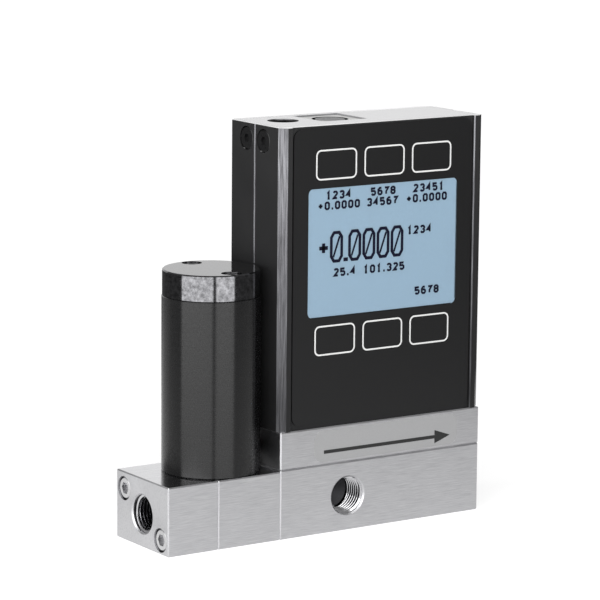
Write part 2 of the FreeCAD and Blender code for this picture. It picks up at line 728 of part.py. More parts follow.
lead.Label = "coil_lead"
lead.Shape = lead_path.makePipeShell([lead_section], True, False)


def box_body(label, left, right, front, back, low, high, x="0", y="0", z="0"):
    """Plain rectangular piece between named faces."""
    body = new_body(label)
    sketch = new_sketch(body, "XY", low)
    draw_box(sketch, left, right, front, back)
    pad(body, sketch, "(%s) - (%s)" % (high, low))
    bind_place(body, x, y, z)
    return body


# Housing shells: drawn sections with bevelled corners, screw bosses and a lap joint at the seam
INNER_LEFT = "side_wall"
INNER_RIGHT = "shell_len - side_wall"
LAP_FACES = [(INNER_LEFT + " - lap_thick", INNER_LEFT), (INNER_RIGHT, INNER_RIGHT + " + lap_thick")]
PANEL_SCREW_Z = "shell_high - panel_screw_drop"


def upright(edge, y):
    """True for an upright edge at the depth y."""
    ends = [point.Point for point in edge.Vertexes]
    return abs(ends[0].x - ends[-1].x) < 0.01 and all(abs(end.y - y) < 0.01 for end in ends)


def shell(label, side):
    body = new_body(label)
    near, far = (FRONT, "0") if side == "front" else ("0", BACK)
    inner_near, inner_far = ((FRONT + " + face_wall", "lap_deep") if side == "front"
                             else ("-lap_deep", BACK + " - face_wall"))
    outline = new_sketch(body, "XY")
    draw_box(outline, "0", "shell_len", near, far)
    solid = pad(body, outline, "shell_high")
    wall = reading(FRONT if side == "front" else BACK)
    bevelled = soften(body, solid, "Chamfer", "corner_break", lambda edge: upright(edge, wall))
    soften(body, bevelled, "Chamfer", "seam_break", lambda edge: upright(edge, 0.0))
    inside = new_sketch(body, "XY")
    draw_box(inside, INNER_LEFT, INNER_RIGHT, inner_near, inner_far)
    pocket(body, inside, "shell_high", True)
    bosses = new_sketch(body, "XY")
    for x, y in SHELL_BOSSES[side]:
        draw_circle(bosses, x, y, "boss_r")
    pad(body, bosses, "shell_high - socket_high - boss_short")
    holes(body, "XY", "0", "shell_high", SHELL_BOSSES[side], "small_screw_r + tap_gap", True)
    return body


front = shell("front_shell", "front")
for left, right in LAP_FACES:
    rebate = new_sketch(front, "XY")
    draw_box(rebate, left + " - lap_gap" if left != INNER_RIGHT else left,
             right + " + lap_gap" if left == INNER_RIGHT else right,
             "-(lap_deep + lap_gap)", "seam_break")
    pocket(front, rebate, "shell_high", True)
rear = shell("rear_shell", "back")
for left, right in LAP_FACES:
    tongue = new_sketch(rear, "XY")
    draw_box(tongue, left, right, "-lap_deep", "seam_break")
    pad(rear, tongue, "shell_high")
for body, sign in ((front, "-"), (rear, "")):
    seat = new_sketch(body, "XY", "shell_high")
    draw_box(seat, "panel_rim", "shell_len - panel_rim", FRONT + " + face_wall", BACK + " - face_wall")
    pocket(body, seat, "panel_lip")
    spot = [(sign + "panel_screw_off", PANEL_SCREW_Z)]
    holes(body, "YZ", "0", "side_wall", spot, "small_screw_r + hole_gap", True)
    holes(body, "YZ", "0", "panel_head_sink", spot, "panel_head_r + head_gap", True)
    holes(body, "YZ", "shell_len", "side_wall", spot, "small_screw_r + hole_gap")
    holes(body, "YZ", "shell_len", "panel_head_sink", spot, "panel_head_r + head_gap")
    bind_place(body, SHELL_X, "0", SHELL_Z)

# Front shell: channel for the overlay, seat for the keypad circuit, and the display opening
WINDOW_LOW = "window_z - window_high / 2"
WINDOW_HIGH = "window_z + window_high / 2"
CHANNEL_WIDE = "(shell_len - 2 * strip_wide)"
FILM_WIDE = "(%s - 2 * film_gap)" % CHANNEL_WIDE
WINDOW_WIDE = "(%s - 2 * film_margin)" % FILM_WIDE
CIRCUIT_WIDE = "(%s + 2 * circuit_rim)" % WINDOW_WIDE
GLASS_WIDE = "(%s - 2 * window_ledge - 2 * hole_gap)" % WINDOW_WIDE
FRAME_WIDE = "(%s + 2 * frame_side)" % GLASS_WIDE
MIDDLE = "shell_len / 2"


def centred(wide):
    return "%s - %s / 2" % (MIDDLE, wide), "%s + %s / 2" % (MIDDLE, wide)


def front_recess(body, wide, low, high, radius, depth):
    sketch = new_sketch(body, "XZ", BACK)
    left, right = centred(wide)
    draw_round_box(sketch, left, right, low, high, radius)
    return pocket(body, sketch, depth)


CIRCUIT_LOW = "window_z - circuit_high / 2"
CIRCUIT_HIGH = "window_z + circuit_high / 2"
channel = new_sketch(front, "XZ", BACK)
left, right = centred(CHANNEL_WIDE)
draw_box(channel, left, right, "0", "shell_high")
channel_cut = pocket(front, channel, "channel_deep")
face_y = reading(FRONT)
channel_sides = (reading(left), reading(right))
soften(front, channel_cut, "Chamfer", "channel_break",
       lambda edge: upright(edge, face_y) and any(abs(edge.CenterOfMass.x - x) < 0.01 for x in channel_sides))
front_recess(front, CIRCUIT_WIDE, CIRCUIT_LOW, CIRCUIT_HIGH, "window_r", "channel_deep + circuit_sink")
front_recess(front, "(%s - 2 * window_ledge)" % WINDOW_WIDE, WINDOW_LOW + " + window_ledge",
             WINDOW_HIGH + " - window_ledge", "window_ledge", "2 * face_wall")

# Overlay: printed film with the display opening and six faintly raised keys
overlay = new_body("keypad_overlay")
film = new_sketch(overlay, "XZ", BACK + " - channel_deep")
left, right = centred(FILM_WIDE)
draw_round_box(film, left, right, "overlay_low", "overlay_low + overlay_high", "overlay_r")
pad(overlay, film, "overlay_thick")
opening = new_sketch(overlay, "XZ", BACK)
left, right = centred(WINDOW_WIDE)
draw_round_box(opening, left, right, WINDOW_LOW, WINDOW_HIGH, "window_r")
pocket(overlay, opening, "channel_deep + overlay_thick")
KEYS = [(MIDDLE + " %s" % column, "window_z %s key_row" % sign)
        for column in ("- key_pitch", "", "+ key_pitch") for sign in "+-"]
keys = new_sketch(overlay, "XZ", BACK + " - channel_deep + overlay_thick")
for x, z in KEYS:
    draw_round_box(keys, x + " - key_wide / 2", x + " + key_wide / 2",
                   z + " - key_high / 2", z + " + key_high / 2", "key_r")
pad(overlay, keys, "key_proud")
bind_place(overlay, SHELL_X, "0", SHELL_Z)

# Keypad circuit: printed film under the overlay, with a snap dome under each key
circuit = new_body("keypad_circuit")
film = new_sketch(circuit, "XZ", BACK + " - channel_deep - circuit_sink")
left, right = centred("(%s - 2 * ring_gap)" % CIRCUIT_WIDE)
draw_round_box(film, left, right, CIRCUIT_LOW + " + ring_gap", CIRCUIT_HIGH + " - ring_gap", "window_r")
pad(circuit, film, "circuit_thick")
opening = new_sketch(circuit, "XZ", BACK)
left, right = centred(WINDOW_WIDE)
draw_round_box(opening, left, right, WINDOW_LOW, WINDOW_HIGH, "window_r")
pocket(circuit, opening, "face_wall")
bind_place(circuit, SHELL_X, "0", SHELL_Z)
dome = new_body("dome_pattern")
cap_shape = new_sketch(dome, "XZ")
draw_outline(cap_shape, [("0", "0"), ("dome_r", "0"), ("0.55 * dome_r", "dome_high"), ("0", "dome_high")])
spin(dome, cap_shape)
DOME_Y = FRONT + " + channel_deep + circuit_sink - circuit_thick"
group("key_domes", copies("key_domes", dome, [
    (SHELL_X + " + " + x, DOME_Y, SHELL_Z + " + " + z) for x, z in KEYS], TO_FRONT))

# Display window: clear lens between the display and the face of the overlay
lens = new_body("display_window")
face = new_sketch(lens, "XZ", BACK + " - channel_deep - circuit_sink")
left, right = centred("(%s - 2 * tap_gap)" % WINDOW_WIDE)
draw_round_box(face, left, right, WINDOW_LOW + " + tap_gap", WINDOW_HIGH + " - tap_gap", "window_r")
pad(lens, face, "circuit_sink + overlay_thick - tap_gap")
bind_place(lens, SHELL_X, "0", SHELL_Z)

# Display: glass block set in a moulded frame behind the front wall
GLASS_FRONT = FRONT + " + channel_deep + circuit_sink + glass_gap"
FRAME_FRONT = FRONT + " + face_wall"
GLASS_LOW = WINDOW_LOW + " + window_ledge + hole_gap"
GLASS_HIGH = WINDOW_HIGH + " - window_ledge - hole_gap"
left, right = centred(GLASS_WIDE)
glass = box_body("lcd_glass", left, right, GLASS_FRONT, GLASS_FRONT + " + glass_thick",
                 GLASS_LOW, GLASS_HIGH, SHELL_X, "0", SHELL_Z)
left, right = centred(FRAME_WIDE)
frame = box_body("lcd_frame", left, right, FRAME_FRONT, FRAME_FRONT + " + frame_thick",
                 GLASS_LOW + " - frame_end", GLASS_HIGH + " + frame_end", SHELL_X, "0", SHELL_Z)
bed = new_sketch(frame, "XZ", BACK)
left, right = centred(GLASS_WIDE)
draw_box(bed, left, right, GLASS_LOW, GLASS_HIGH)
pocket(frame, bed, "channel_deep + circuit_sink + glass_gap + glass_thick")

# Circuit boards: each stands on four posts and is held by four screws
DISPLAY_Y = FRAME_FRONT + " + frame_thick"
MAIN_Y = BACK + " - face_wall - main_post_len - board_thick"
BOARD_LEFT = "side_wall + board_edge"
BOARD_RIGHT = "shell_len - side_wall - board_edge"


def board(label, front_y, high, chips, chip_side):
    body = box_body(label, BOARD_LEFT, BOARD_RIGHT, front_y, front_y + " + board_thick",
                    "board_low", "board_low + " + high, SHELL_X, "0", SHELL_Z)
    face_y = front_y + (" + board_thick" if chip_side == "back" else "")
    parts = new_sketch(body, "XZ", "-(%s)" % face_y)
    for x, z, wide, tall in chips:
        draw_box(parts, x, "%s + %s" % (x, wide), z, "%s + %s" % (z, tall))
    pad(body, parts, "chip_high", chip_side == "back")
    return body


def board_posts(low, high):
    return [(x, z) for x in (BOARD_LEFT + " + post_in / 2", BOARD_RIGHT + " - post_in / 2")
            for z in (low, high)]


POST_LOW = "board_low + post_low"
DISPLAY_POSTS = board_posts(POST_LOW, "board_low + display_board_high - post_top")
MAIN_POSTS = board_posts(POST_LOW, "board_low + main_board_high - post_top")
display_board = board("display_board", DISPLAY_Y, "display_board_high",
                      [("shell_len / 2", "window_z", "2 * post_in", "2 * post_in"),
                       ("shell_len / 2", "window_z - 3 * post_in", "post_in", "2 * post_in")], "back")
main_board = board("main_board", MAIN_Y, "main_board_high",
                   [("shell_len / 2 - 2 * post_in", "window_z - post_in", "post_in", "post_in"),
                    ("shell_len / 2", "window_z - 4 * post_in", "2 * post_in", "2 * post_in")], "front")
holes(display_board, "XZ", "-(%s + board_thick + post_r)" % DISPLAY_Y, "board_thick + 2 * post_r",
      DISPLAY_POSTS, "small_screw_r + hole_gap", True)
holes(main_board, "XZ", "-(%s - post_r)" % MAIN_Y, "board_thick + 2 * post_r", MAIN_POSTS,
      "small_screw_r + hole_gap")


def posts(label, length, spots, y, turn):
    """Brass posts, tapped through, that stand off one board from its wall."""
    post = turned(label + "_pattern", [("small_screw_r + tap_gap", "0"), ("post_r", "0"),
                                       ("post_r", length), ("small_screw_r + tap_gap", length)])
    places = [(SHELL_X + " + " + x, y, SHELL_Z + " + " + z) for x, z in spots]
    return group(label, copies(label, post, places, turn))


posts("display_posts", "frame_thick", DISPLAY_POSTS, FRAME_FRONT, TO_BACK)
posts("main_posts", "main_post_len", MAIN_POSTS, BACK + " - face_wall", TO_FRONT)
socket_screw("display_screws", "small_screw_r", "board_screw_len", *SMALL_SCREW,
             [(SHELL_X + " + " + x, DISPLAY_Y + " + board_thick", SHELL_Z + " + " + z)
              for x, z in DISPLAY_POSTS], TO_BACK)
socket_screw("main_screws", "small_screw_r", "board_screw_len", *SMALL_SCREW,
             [(SHELL_X + " + " + x, MAIN_Y, SHELL_Z + " + " + z) for x, z in MAIN_POSTS], TO_FRONT)

# Header that joins the two boards, and the plug on the coil lead
box_body("board_header", "shell_len / 2 - 2 * plug_wide", "shell_len / 2 + 2 * plug_wide",
         DISPLAY_Y + " + board_thick", MAIN_Y, POST_LOW, POST_LOW + " + plug_high",
         SHELL_X, "0", SHELL_Z)
PLUG_X = "lead_turn - " + SHELL_START
box_body("lead_plug", PLUG_X + " - plug_wide / 2", PLUG_X + " + plug_wide / 2",
         DISPLAY_Y + " + board_thick", "plug_wide / 2", "lead_rise", "lead_rise + plug_high",
         SHELL_X, "0", SHELL_Z)

# Connector panel: solid block between the shells, level with their top ends
PANEL_LOW = "shell_high - panel_high"
panel = box_body("connector_panel", INNER_LEFT + " + panel_gap", INNER_RIGHT + " - panel_gap",
                 FRONT + " + face_wall + panel_gap", BACK + " - face_wall - panel_gap",
                 PANEL_LOW, "shell_high", SHELL_X, "0", SHELL_Z)
lip = new_sketch(panel, "XY", "shell_high - panel_lip")
draw_box(lip, "panel_rim + panel_gap", "shell_len - panel_rim - panel_gap",
         FRONT + " + face_wall + panel_gap", BACK + " - face_wall - panel_gap")
pad(panel, lip, "panel_lip")
holes(panel, "XY", "shell_high", "panel_high", [("jack_x", "jack_y")], "jack_hole_r")
cutout = new_sketch(panel, "XY", "shell_high")
HALF_DIN = "(din_side / 2 + din_gap)"
DIN_Y = "(%s - face_wall - din_back - din_side / 2)" % BACK
draw_box(cutout, "din_x - " + HALF_DIN, "din_x + " + HALF_DIN,
         DIN_Y + " - " + HALF_DIN, DIN_Y + " + " + HALF_DIN)
pocket(panel, cutout, "panel_high")
PANEL_SCREWS = [(sign + "panel_screw_off", PANEL_SCREW_Z) for sign in ("-", "")]
PANEL_TAP = "panel_head_sink + panel_screw_len + hole_gap"
holes(panel, "YZ", "0", PANEL_TAP, PANEL_SCREWS, "small_screw_r + tap_gap", True)
holes(panel, "YZ", "shell_len", PANEL_TAP, PANEL_SCREWS, "small_screw_r + tap_gap")
PANEL_HEAD = ("panel_head_r", "panel_head_high", "small_socket")
socket_screw("left_panel_screws", "small_screw_r", "panel_screw_len", *PANEL_HEAD,
             [(SHELL_X + " + panel_head_sink", y, SHELL_Z + " + " + z) for y, z in PANEL_SCREWS], TO_LEFT)
socket_screw("right_panel_screws", "small_screw_r", "panel_screw_len", *PANEL_HEAD,
             [(SHELL_X + " + shell_len - panel_head_sink", y, SHELL_Z + " + " + z)
              for y, z in PANEL_SCREWS], TO_RIGHT)

# Power socket: moulded body under the panel, sleeve in its round hole, centre pin
jack = box_body("power_jack", "jack_x - jack_wide / 2", "jack_x + jack_wide / 2",
                DISPLAY_Y + " + board_thick + small_head_high + hole_gap", "jack_y + jack_wide / 2",
                "shell_high - socket_high", PANEL_LOW, SHELL_X, "0", SHELL_Z)
sleeve = new_sketch(jack, "XY", PANEL_LOW)
draw_circle(sleeve, "jack_x", "jack_y", "jack_hole_r - tap_gap")
pad(jack, sleeve, "panel_high - jack_sink")
holes(jack, "XY", "shell_high - jack_sink", "panel_high - jack_sink", [("jack_x", "jack_y")], "jack_bore")
pin = new_sketch(jack, "XY", PANEL_LOW)
draw_circle(pin, "jack_x", "jack_y", "jack_pin")
pad(jack, pin, "panel_high - 2 * jack_sink")

# Data socket: square body in the panel, round shield gap, core with eight contact holes and a key
din = box_body("din_socket", "din_x - din_side / 2", "din_x + din_side / 2",
               DIN_Y + " - din_side / 2", DIN_Y + " + din_side / 2",
               "shell_high - din_high", "shell_high - din_sink", SHELL_X, "0", SHELL_Z)
annulus = new_sketch(din, "XY", "shell_high - din_sink")
draw_circle(annulus, "din_x", DIN_Y, "din_ring_r")
draw_circle(annulus, "din_x", DIN_Y, "din_core_r")
pocket(din, annulus, "din_ring_deep")
DIN_PINS = ([(x, "0.45") for x in ("-0.6", "-0.2", "0.2", "0.6")]
            + [(x, "-0.1") for x in ("-0.62", "0.62")] + [(x, "-0.6") for x in ("-0.35", "0.35")])
contact_spots = [("din_x + %s * din_core_r" % x, "%s + %s * din_core_r" % (DIN_Y, y)) for x, y in DIN_PINS]
holes(din, "XY", "shell_high - din_sink", "din_ring_deep", contact_spots, "din_pin_r")
key = new_sketch(din, "XY", "shell_high - din_sink")
draw_box(key, "din_x - 2 * din_pin_r", "din_x + 2 * din_pin_r",
         DIN_Y + " - 2 * din_pin_r", DIN_Y + " + 0.2 * din_pin_r")
pocket(din, key, "din_ring_deep")

# Pressure sensor: flanged can over its ring in the plate's well, held by a threaded ring
SENSOR_X = BASE_START + " + sensor_x"
SENSOR_Z = PLATE_Z + " + well_floor"
turned("pressure_sensor", [
    ("0", "0"), ("sensor_r", "0"), ("sensor_r", "sensor_base"), ("sensor_can_r", "sensor_base"),
    ("sensor_can_r", "sensor_base + sensor_can_high"), ("0", "sensor_base + sensor_can_high")],
    SENSOR_X, "0", SENSOR_Z)
turned("sensor_ring", [
    ("sensor_can_r + ring_gap", "0"), ("well_r - tap_gap", "0"), ("well_r - tap_gap", "sensor_ring_high"),
    ("sensor_can_r + ring_gap", "sensor_ring_high")], SENSOR_X, "0", SENSOR_Z + " + sensor_base")

# Sensor pins: three straight leads that rise to the front face of the main board
SENSOR_TOP = SENSOR_Z + " + sensor_base + sensor_can_high"
PIN_LEN = SHELL_Z + " + board_low + sensor_pin_rise - (%s)" % SENSOR_TOP
sensor_pin = turned("sensor_pin_pattern", [("0", "0"), ("sensor_pin_r", "0"), ("sensor_pin_r", PIN_LEN),
                                           ("0", PIN_LEN)])
group("sensor_pins", copies("sensor_pins", sensor_pin, [
    (SENSOR_X + side, MAIN_Y + " - sensor_pin_r", SENSOR_TOP)
    for side in (" - sensor_pin_pitch", "", " + sensor_pin_pitch")]))

doc.recompute()

# Every object is checked before a file is written: no failed state, and cuts that really cut
for item in doc.Objects:
    if "Invalid" in item.State or "Error" in item.State:
        raise RuntimeError("%s failed: %s" % (item.Name, item.State))
    if item.TypeId in ("PartDesign::Pocket", "PartDesign::Groove"):
        if item.Shape.Volume > item.BaseFeature.Shape.Volume - 1e-6:
            raise RuntimeError("%s removes nothing" % item.Name)

# Patterns are only shown through their copies, and the rest goes to one file each
os.makedirs("parts", exist_ok=True)
subparts = [item for item in doc.Objects
            if item.TypeId in ("PartDesign::Body", "Part::Compound", "Part::Sweep", "Part::Feature")
            and not item.Label.endswith("_pattern")]
for item in subparts:
    if item.Shape.isNull() or not item.Shape.isValid():
        raise RuntimeError("%s has no valid shape" % item.Label)
    item.Shape.exportStep("parts/%s.step" % item.Label)
    size = item.Shape.BoundBox
    print("%-20s solids %2d  volume %10.2f  x %7.2f %7.2f  y %7.2f %7.2f  z %7.2f %7.2f" % (
        item.Label, len(item.Shape.Solids), item.Shape.Volume,
        size.XMin, size.XMax, size.YMin, size.YMax, size.ZMin, size.ZMax))
print("%d sub-parts" % len(subparts))
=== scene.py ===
import json
import math

import bpy
from mathutils import Matrix, Vector


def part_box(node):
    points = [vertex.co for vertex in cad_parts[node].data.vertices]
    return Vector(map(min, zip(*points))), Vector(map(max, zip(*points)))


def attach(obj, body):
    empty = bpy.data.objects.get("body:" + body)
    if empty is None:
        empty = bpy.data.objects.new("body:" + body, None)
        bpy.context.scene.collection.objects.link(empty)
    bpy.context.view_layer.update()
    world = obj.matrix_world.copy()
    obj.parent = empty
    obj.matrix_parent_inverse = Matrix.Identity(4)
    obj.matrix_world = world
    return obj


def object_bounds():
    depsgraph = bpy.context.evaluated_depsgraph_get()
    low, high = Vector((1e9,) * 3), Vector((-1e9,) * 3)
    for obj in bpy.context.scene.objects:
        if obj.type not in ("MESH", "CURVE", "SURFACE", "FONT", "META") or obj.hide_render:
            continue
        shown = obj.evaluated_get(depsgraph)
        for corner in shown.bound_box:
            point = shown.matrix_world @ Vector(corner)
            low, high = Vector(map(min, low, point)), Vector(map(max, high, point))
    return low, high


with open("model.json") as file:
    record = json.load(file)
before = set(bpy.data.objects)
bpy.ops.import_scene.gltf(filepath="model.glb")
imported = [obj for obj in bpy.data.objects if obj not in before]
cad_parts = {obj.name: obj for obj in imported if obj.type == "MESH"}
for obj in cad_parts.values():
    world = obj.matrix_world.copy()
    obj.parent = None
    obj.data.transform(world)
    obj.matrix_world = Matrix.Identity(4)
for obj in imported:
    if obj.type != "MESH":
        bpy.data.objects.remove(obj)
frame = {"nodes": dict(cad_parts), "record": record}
cad_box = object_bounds()
MM = 0.001

# The camera stands low in front of the left end, about three quarters of a metre away, with a long
# lens. It is turned a third of the way from the front to the end face, and looks slightly down.
yaw = math.radians(33.687)
pitch = math.radians(10.049)
roll = math.radians(0.510)
camera_place = Vector((-0.424631, -0.635634, 0.193493))

camera_data = bpy.data.cameras.new("photo_camera")
camera_data.sensor_width = 36
camera_data.lens = 183.585
camera_data.clip_start = 0.01
camera = bpy.data.objects.new("photo_camera", camera_data)
bpy.context.scene.collection.objects.link(camera)
camera_turn = (
    Matrix.Rotation(-yaw, 4, "Z")
    @ Matrix.Rotation(math.radians(90) - pitch, 4, "X")
    @ Matrix.Rotation(roll, 4, "Z")
)
camera.matrix_world = Matrix.Translation(camera_place) @ camera_turn
bpy.context.scene.camera = camera
bpy.context.scene.view_settings.view_transform = "Standard"

# The studio is dim and grey, with two tall soft boxes that leave a slot between them for the lens.
# The wide one lights the left end and the narrow one the front, as the bands on the can show.
ROOM_LIGHT = 0.3
BOX_AWAY = 0.6
BOX_TALL = 1.0
BOX_RADIANCE = 2.3

world = bpy.data.worlds.new("studio")
bpy.context.scene.world = world
world.use_nodes = True
world.node_tree.nodes["Background"].inputs["Color"].default_value = (1, 1, 1, 1)
world.node_tree.nodes["Background"].inputs["Strength"].default_value = ROOM_LIGHT


def soft_box(name, direction, width):
    """A tall soft box on the floor, which faces the object from that direction and isn't seen itself."""
    light = bpy.data.lights.new(name, "AREA")
    light.shape = "RECTANGLE"
    light.size = width
    light.size_y = BOX_TALL
    light.energy = BOX_RADIANCE * math.pi * width * BOX_TALL
    lamp = bpy.data.objects.new(name, light)
    bpy.context.scene.collection.objects.link(lamp)
    away = Vector(direction).normalized()
    lamp.matrix_world = Matrix.Translation(away * BOX_AWAY + Vector((0, 0, BOX_TALL / 2))) @ (
        away.to_track_quat("Z", "Y").to_matrix().to_4x4()
    )
    lamp.visible_camera = False


END_BOX = Vector((-0.918, -0.396, 0))
END_BOX_WIDE = 0.87
FRONT_BOX = Vector((-0.047, -0.999, 0))
FRONT_BOX_WIDE = 0.48
soft_box("end_soft_box", END_BOX, END_BOX_WIDE)
soft_box("front_soft_box", FRONT_BOX, FRONT_BOX_WIDE)

# The studio paper is a white floor with a white sheet behind, and the lens sees both as plain white.
# In reflections the floor's own scatter is off, and a glow is painted on it instead: bright close by,
# dim further out, with a painted reflection of each soft box and a painted glow where a white board
# at the back left would be mirrored, as on satin paper. The metal's tops see the sheet behind.
FLOOR_HALF = 6.0
FLOOR_GAP = 0.05 * MM
PAPER_WHITE = 0.8
SEEN_NEAR = 0.55
SEEN_FAR = 0.9
SEEN_REACH = (0.2, 1.4)
CLOSE_GLOW = 0.86
CLOSE_REACH = (0.18, 0.23)
DIM_GLOW = 0.09
SHEEN_GLOW = 2.0
SHEEN_LOW = 0.3
SHEEN_REACH = (0.15, 0.31)
EDGE_SOFT = 0.008
# No board stands in the studio: its reflection is a painted glow on the floor, seen only in reflections.
PAINTED_BOARD = Vector((-0.327, 0.945, 0))
PAINTED_BOARD_EDGE = math.cos(math.radians(24))
PAINTED_BOARD_GLOW = 0.6
PAINTED_BOARD_REACH = (0.29, 0.33)
SHEET_GLOW = 1.0
SHEET_AWAY = 2.1
SHEET_WIDE = 3.6
SHEET_TALL = 1.6


def new_material(name):
    """An empty node material and its output node."""
    material = bpy.data.materials.new(name)
    material.use_nodes = True
    material.node_tree.nodes.clear()
    return material, node(material, "ShaderNodeOutputMaterial")


def node(material, kind, settings=None, links=None):
    """Adds one node with its settings and the links into it."""
    tree = material.node_tree
    made = tree.nodes.new(kind)
    for key, value in (settings or {}).items():
        if isinstance(key, str) and hasattr(made, key):
            setattr(made, key, value)
        else:
            made.inputs[key].default_value = value
    for key, source in (links or {}).items():
        tree.links.new(source, made.inputs[key])
    return made


def paper(material, output, seen, mirrored):
    """Finishes white paper: it scatters light, and glows for the lens and for the mirror-like pieces."""
    rays = node(material, "ShaderNodeLightPath")
    direct = node(
        material,
        "ShaderNodeMath",
        {"operation": "MAXIMUM"},
        {0: rays.outputs["Is Camera Ray"], 1: rays.outputs["Is Transmission Ray"]},
    )
    straight = node(material, "ShaderNodeMath", {"operation": "MULTIPLY"}, {0: seen, 1: direct.outputs[0]})
    strength = node(
        material,
        "ShaderNodeMath",
        {"operation": "MULTIPLY_ADD"},
        {0: mirrored, 1: rays.outputs["Is Glossy Ray"], 2: straight.outputs[0]},
    )
    emission = node(
        material, "ShaderNodeEmission", {"Color": (1, 1, 1, 1)}, {"Strength": strength.outputs[0]}
    )
    white = node(
        material,
        "ShaderNodeMix",
        {"data_type": "RGBA", 6: (PAPER_WHITE,) * 3 + (1,), 7: (0, 0, 0, 1)},
        {0: rays.outputs["Is Glossy Ray"]},
    )
    diffuse = node(material, "ShaderNodeBsdfDiffuse", None, {"Color": white.outputs[2]})
    both = node(material, "ShaderNodeAddShader", None, {0: emission.outputs[0], 1: diffuse.outputs[0]})
    material.node_tree.links.new(both.outputs[0], output.inputs["Surface"])


def studio_sheet(name, corners, material):
    """A flat sheet of the studio through four corners."""
    mesh = bpy.data.meshes.new(name)
    mesh.from_pydata(corners, [], [(0, 1, 2, 3)])
    mesh.materials.append(material)
    sheet = bpy.data.objects.new(name, mesh)
    bpy.context.scene.collection.objects.link(sheet)
    return sheet


floor_paper, output = new_material("white_floor_paper")
coords = node(floor_paper, "ShaderNodeTexCoord")
length = node(floor_paper, "ShaderNodeVectorMath", {"operation": "LENGTH"}, {0: coords.outputs["Object"]})
away = length.outputs["Value"]
toward = node(
    floor_paper, "ShaderNodeVectorMath", {"operation": "NORMALIZE"}, {0: coords.outputs["Object"]}
)
fades = {}
for name, reach, low, high in (
    ("seen", SEEN_REACH, SEEN_NEAR, SEEN_FAR),
    ("close", CLOSE_REACH, CLOSE_GLOW, DIM_GLOW),
    ("sheen", SHEEN_REACH, SHEEN_LOW, SHEEN_GLOW),
    ("board", PAINTED_BOARD_REACH, 1.0, 0.0),
):
    limits = {"From Min": reach[0], "From Max": reach[1], "To Min": low, "To Max": high}
    fades[name] = node(floor_paper, "ShaderNodeMapRange", limits, {"Value": away}).outputs[0]
# Painted reflections: sectors of the floor glow in reflections, toward each soft box and the painted board.
sectors = []
for direction, edge, level in (
    (END_BOX, math.cos(math.atan(END_BOX_WIDE / 2 / BOX_AWAY)), 1.0),
    (FRONT_BOX, math.cos(math.atan(FRONT_BOX_WIDE / 2 / BOX_AWAY)), 1.0),
    (PAINTED_BOARD, PAINTED_BOARD_EDGE, PAINTED_BOARD_GLOW),
):
    facing = node(
        floor_paper,
        "ShaderNodeVectorMath",
        {"operation": "DOT_PRODUCT", 1: direction.normalized()},
        {0: toward.outputs[0]},
    )
    sector = node(
        floor_paper,
        "ShaderNodeMapRange",
        {"From Min": edge - EDGE_SOFT, "From Max": edge + EDGE_SOFT, "To Max": level},
        {"Value": facing.outputs["Value"]},
    )
    sectors.append(sector.outputs[0])
in_sheen = node(floor_paper, "ShaderNodeMath", {"operation": "MAXIMUM"}, {0: sectors[0], 1: sectors[1]})
sheen = node(
    floor_paper, "ShaderNodeMath", {"operation": "MULTIPLY"}, {0: in_sheen.outputs[0], 1: fades["sheen"]}
)
board = node(floor_paper, "ShaderNodeMath", {"operation": "MULTIPLY"}, {0: sectors[2], 1: fades["board"]})
outside = node(
    floor_paper, "ShaderNodeMath", {"operation": "MAXIMUM"}, {0: sheen.outputs[0], 1: board.outputs[0]}
)
mirrored = node(
    floor_paper, "ShaderNodeMath", {"operation": "MAXIMUM"}, {0: outside.outputs[0], 1: fades["close"]}
)
paper(floor_paper, output, fades["seen"], mirrored.outputs[0])
floor = studio_sheet(
    "studio_floor",
    [(x * FLOOR_HALF, y * FLOOR_HALF, 0) for x, y in ((-1, -1), (1, -1), (1, 1), (-1, 1))],
    floor_paper,
)
floor.location.z = cad_box[0][2] - FLOOR_GAP

back_paper, output = new_material("white_back_paper")
sheet_glow = node(back_paper, "ShaderNodeValue")
sheet_glow.outputs[0].default_value = SHEET_GLOW
paper(back_paper, output, sheet_glow.outputs[0], sheet_glow.outputs[0])
view = Vector((math.sin(yaw), math.cos(yaw), 0))
side = Vector((math.cos(yaw), -math.sin(yaw), 0))
studio_sheet(
    "studio_back_sheet",
    [
        view * SHEET_AWAY + side * across * SHEET_WIDE / 2 + Vector((0, 0, up * SHEET_TALL))
        for across, up in ((-1, 0), (1, 0), (1, 1), (-1, 1))
    ],
    back_paper,
)

# The three flow blocks and the adapter plate are aluminium bars, milled to size and brushed along
# their length, which stretches every reflection across the lines. The lines are drawn coarser than
# real ones, so that they show, and the end faces have a plain ground grain and are painted lighter,
# as painted light on them.
BRUSH_LINE = 0.16 * MM
BRUSH_LENGTH = 5 * MM
BRUSH_DEPTH = 0.003 * MM
GROUND_GRAIN = 0.35 * MM
HANDLED_PATCH = 9 * MM
# How much lighter the end faces are painted, as painted light.
END_PAINTED_LIGHT = 0.45
MILLED_GRIND = 0.13


def linear(hex_colour):
    """The linear colour of an sRGB hex value."""
    parts = [int(hex_colour[i : i + 2], 16) / 255 for i in (1, 3, 5)]
    return tuple(((c + 0.055) / 1.055) ** 2.4 if c > 0.04045 else c / 12.92 for c in parts) + (1.0,)


def dress(material, *names):
    """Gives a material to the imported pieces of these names."""
    for name in names:
        for slot in frame["nodes"][name].material_slots:
            slot.material = material


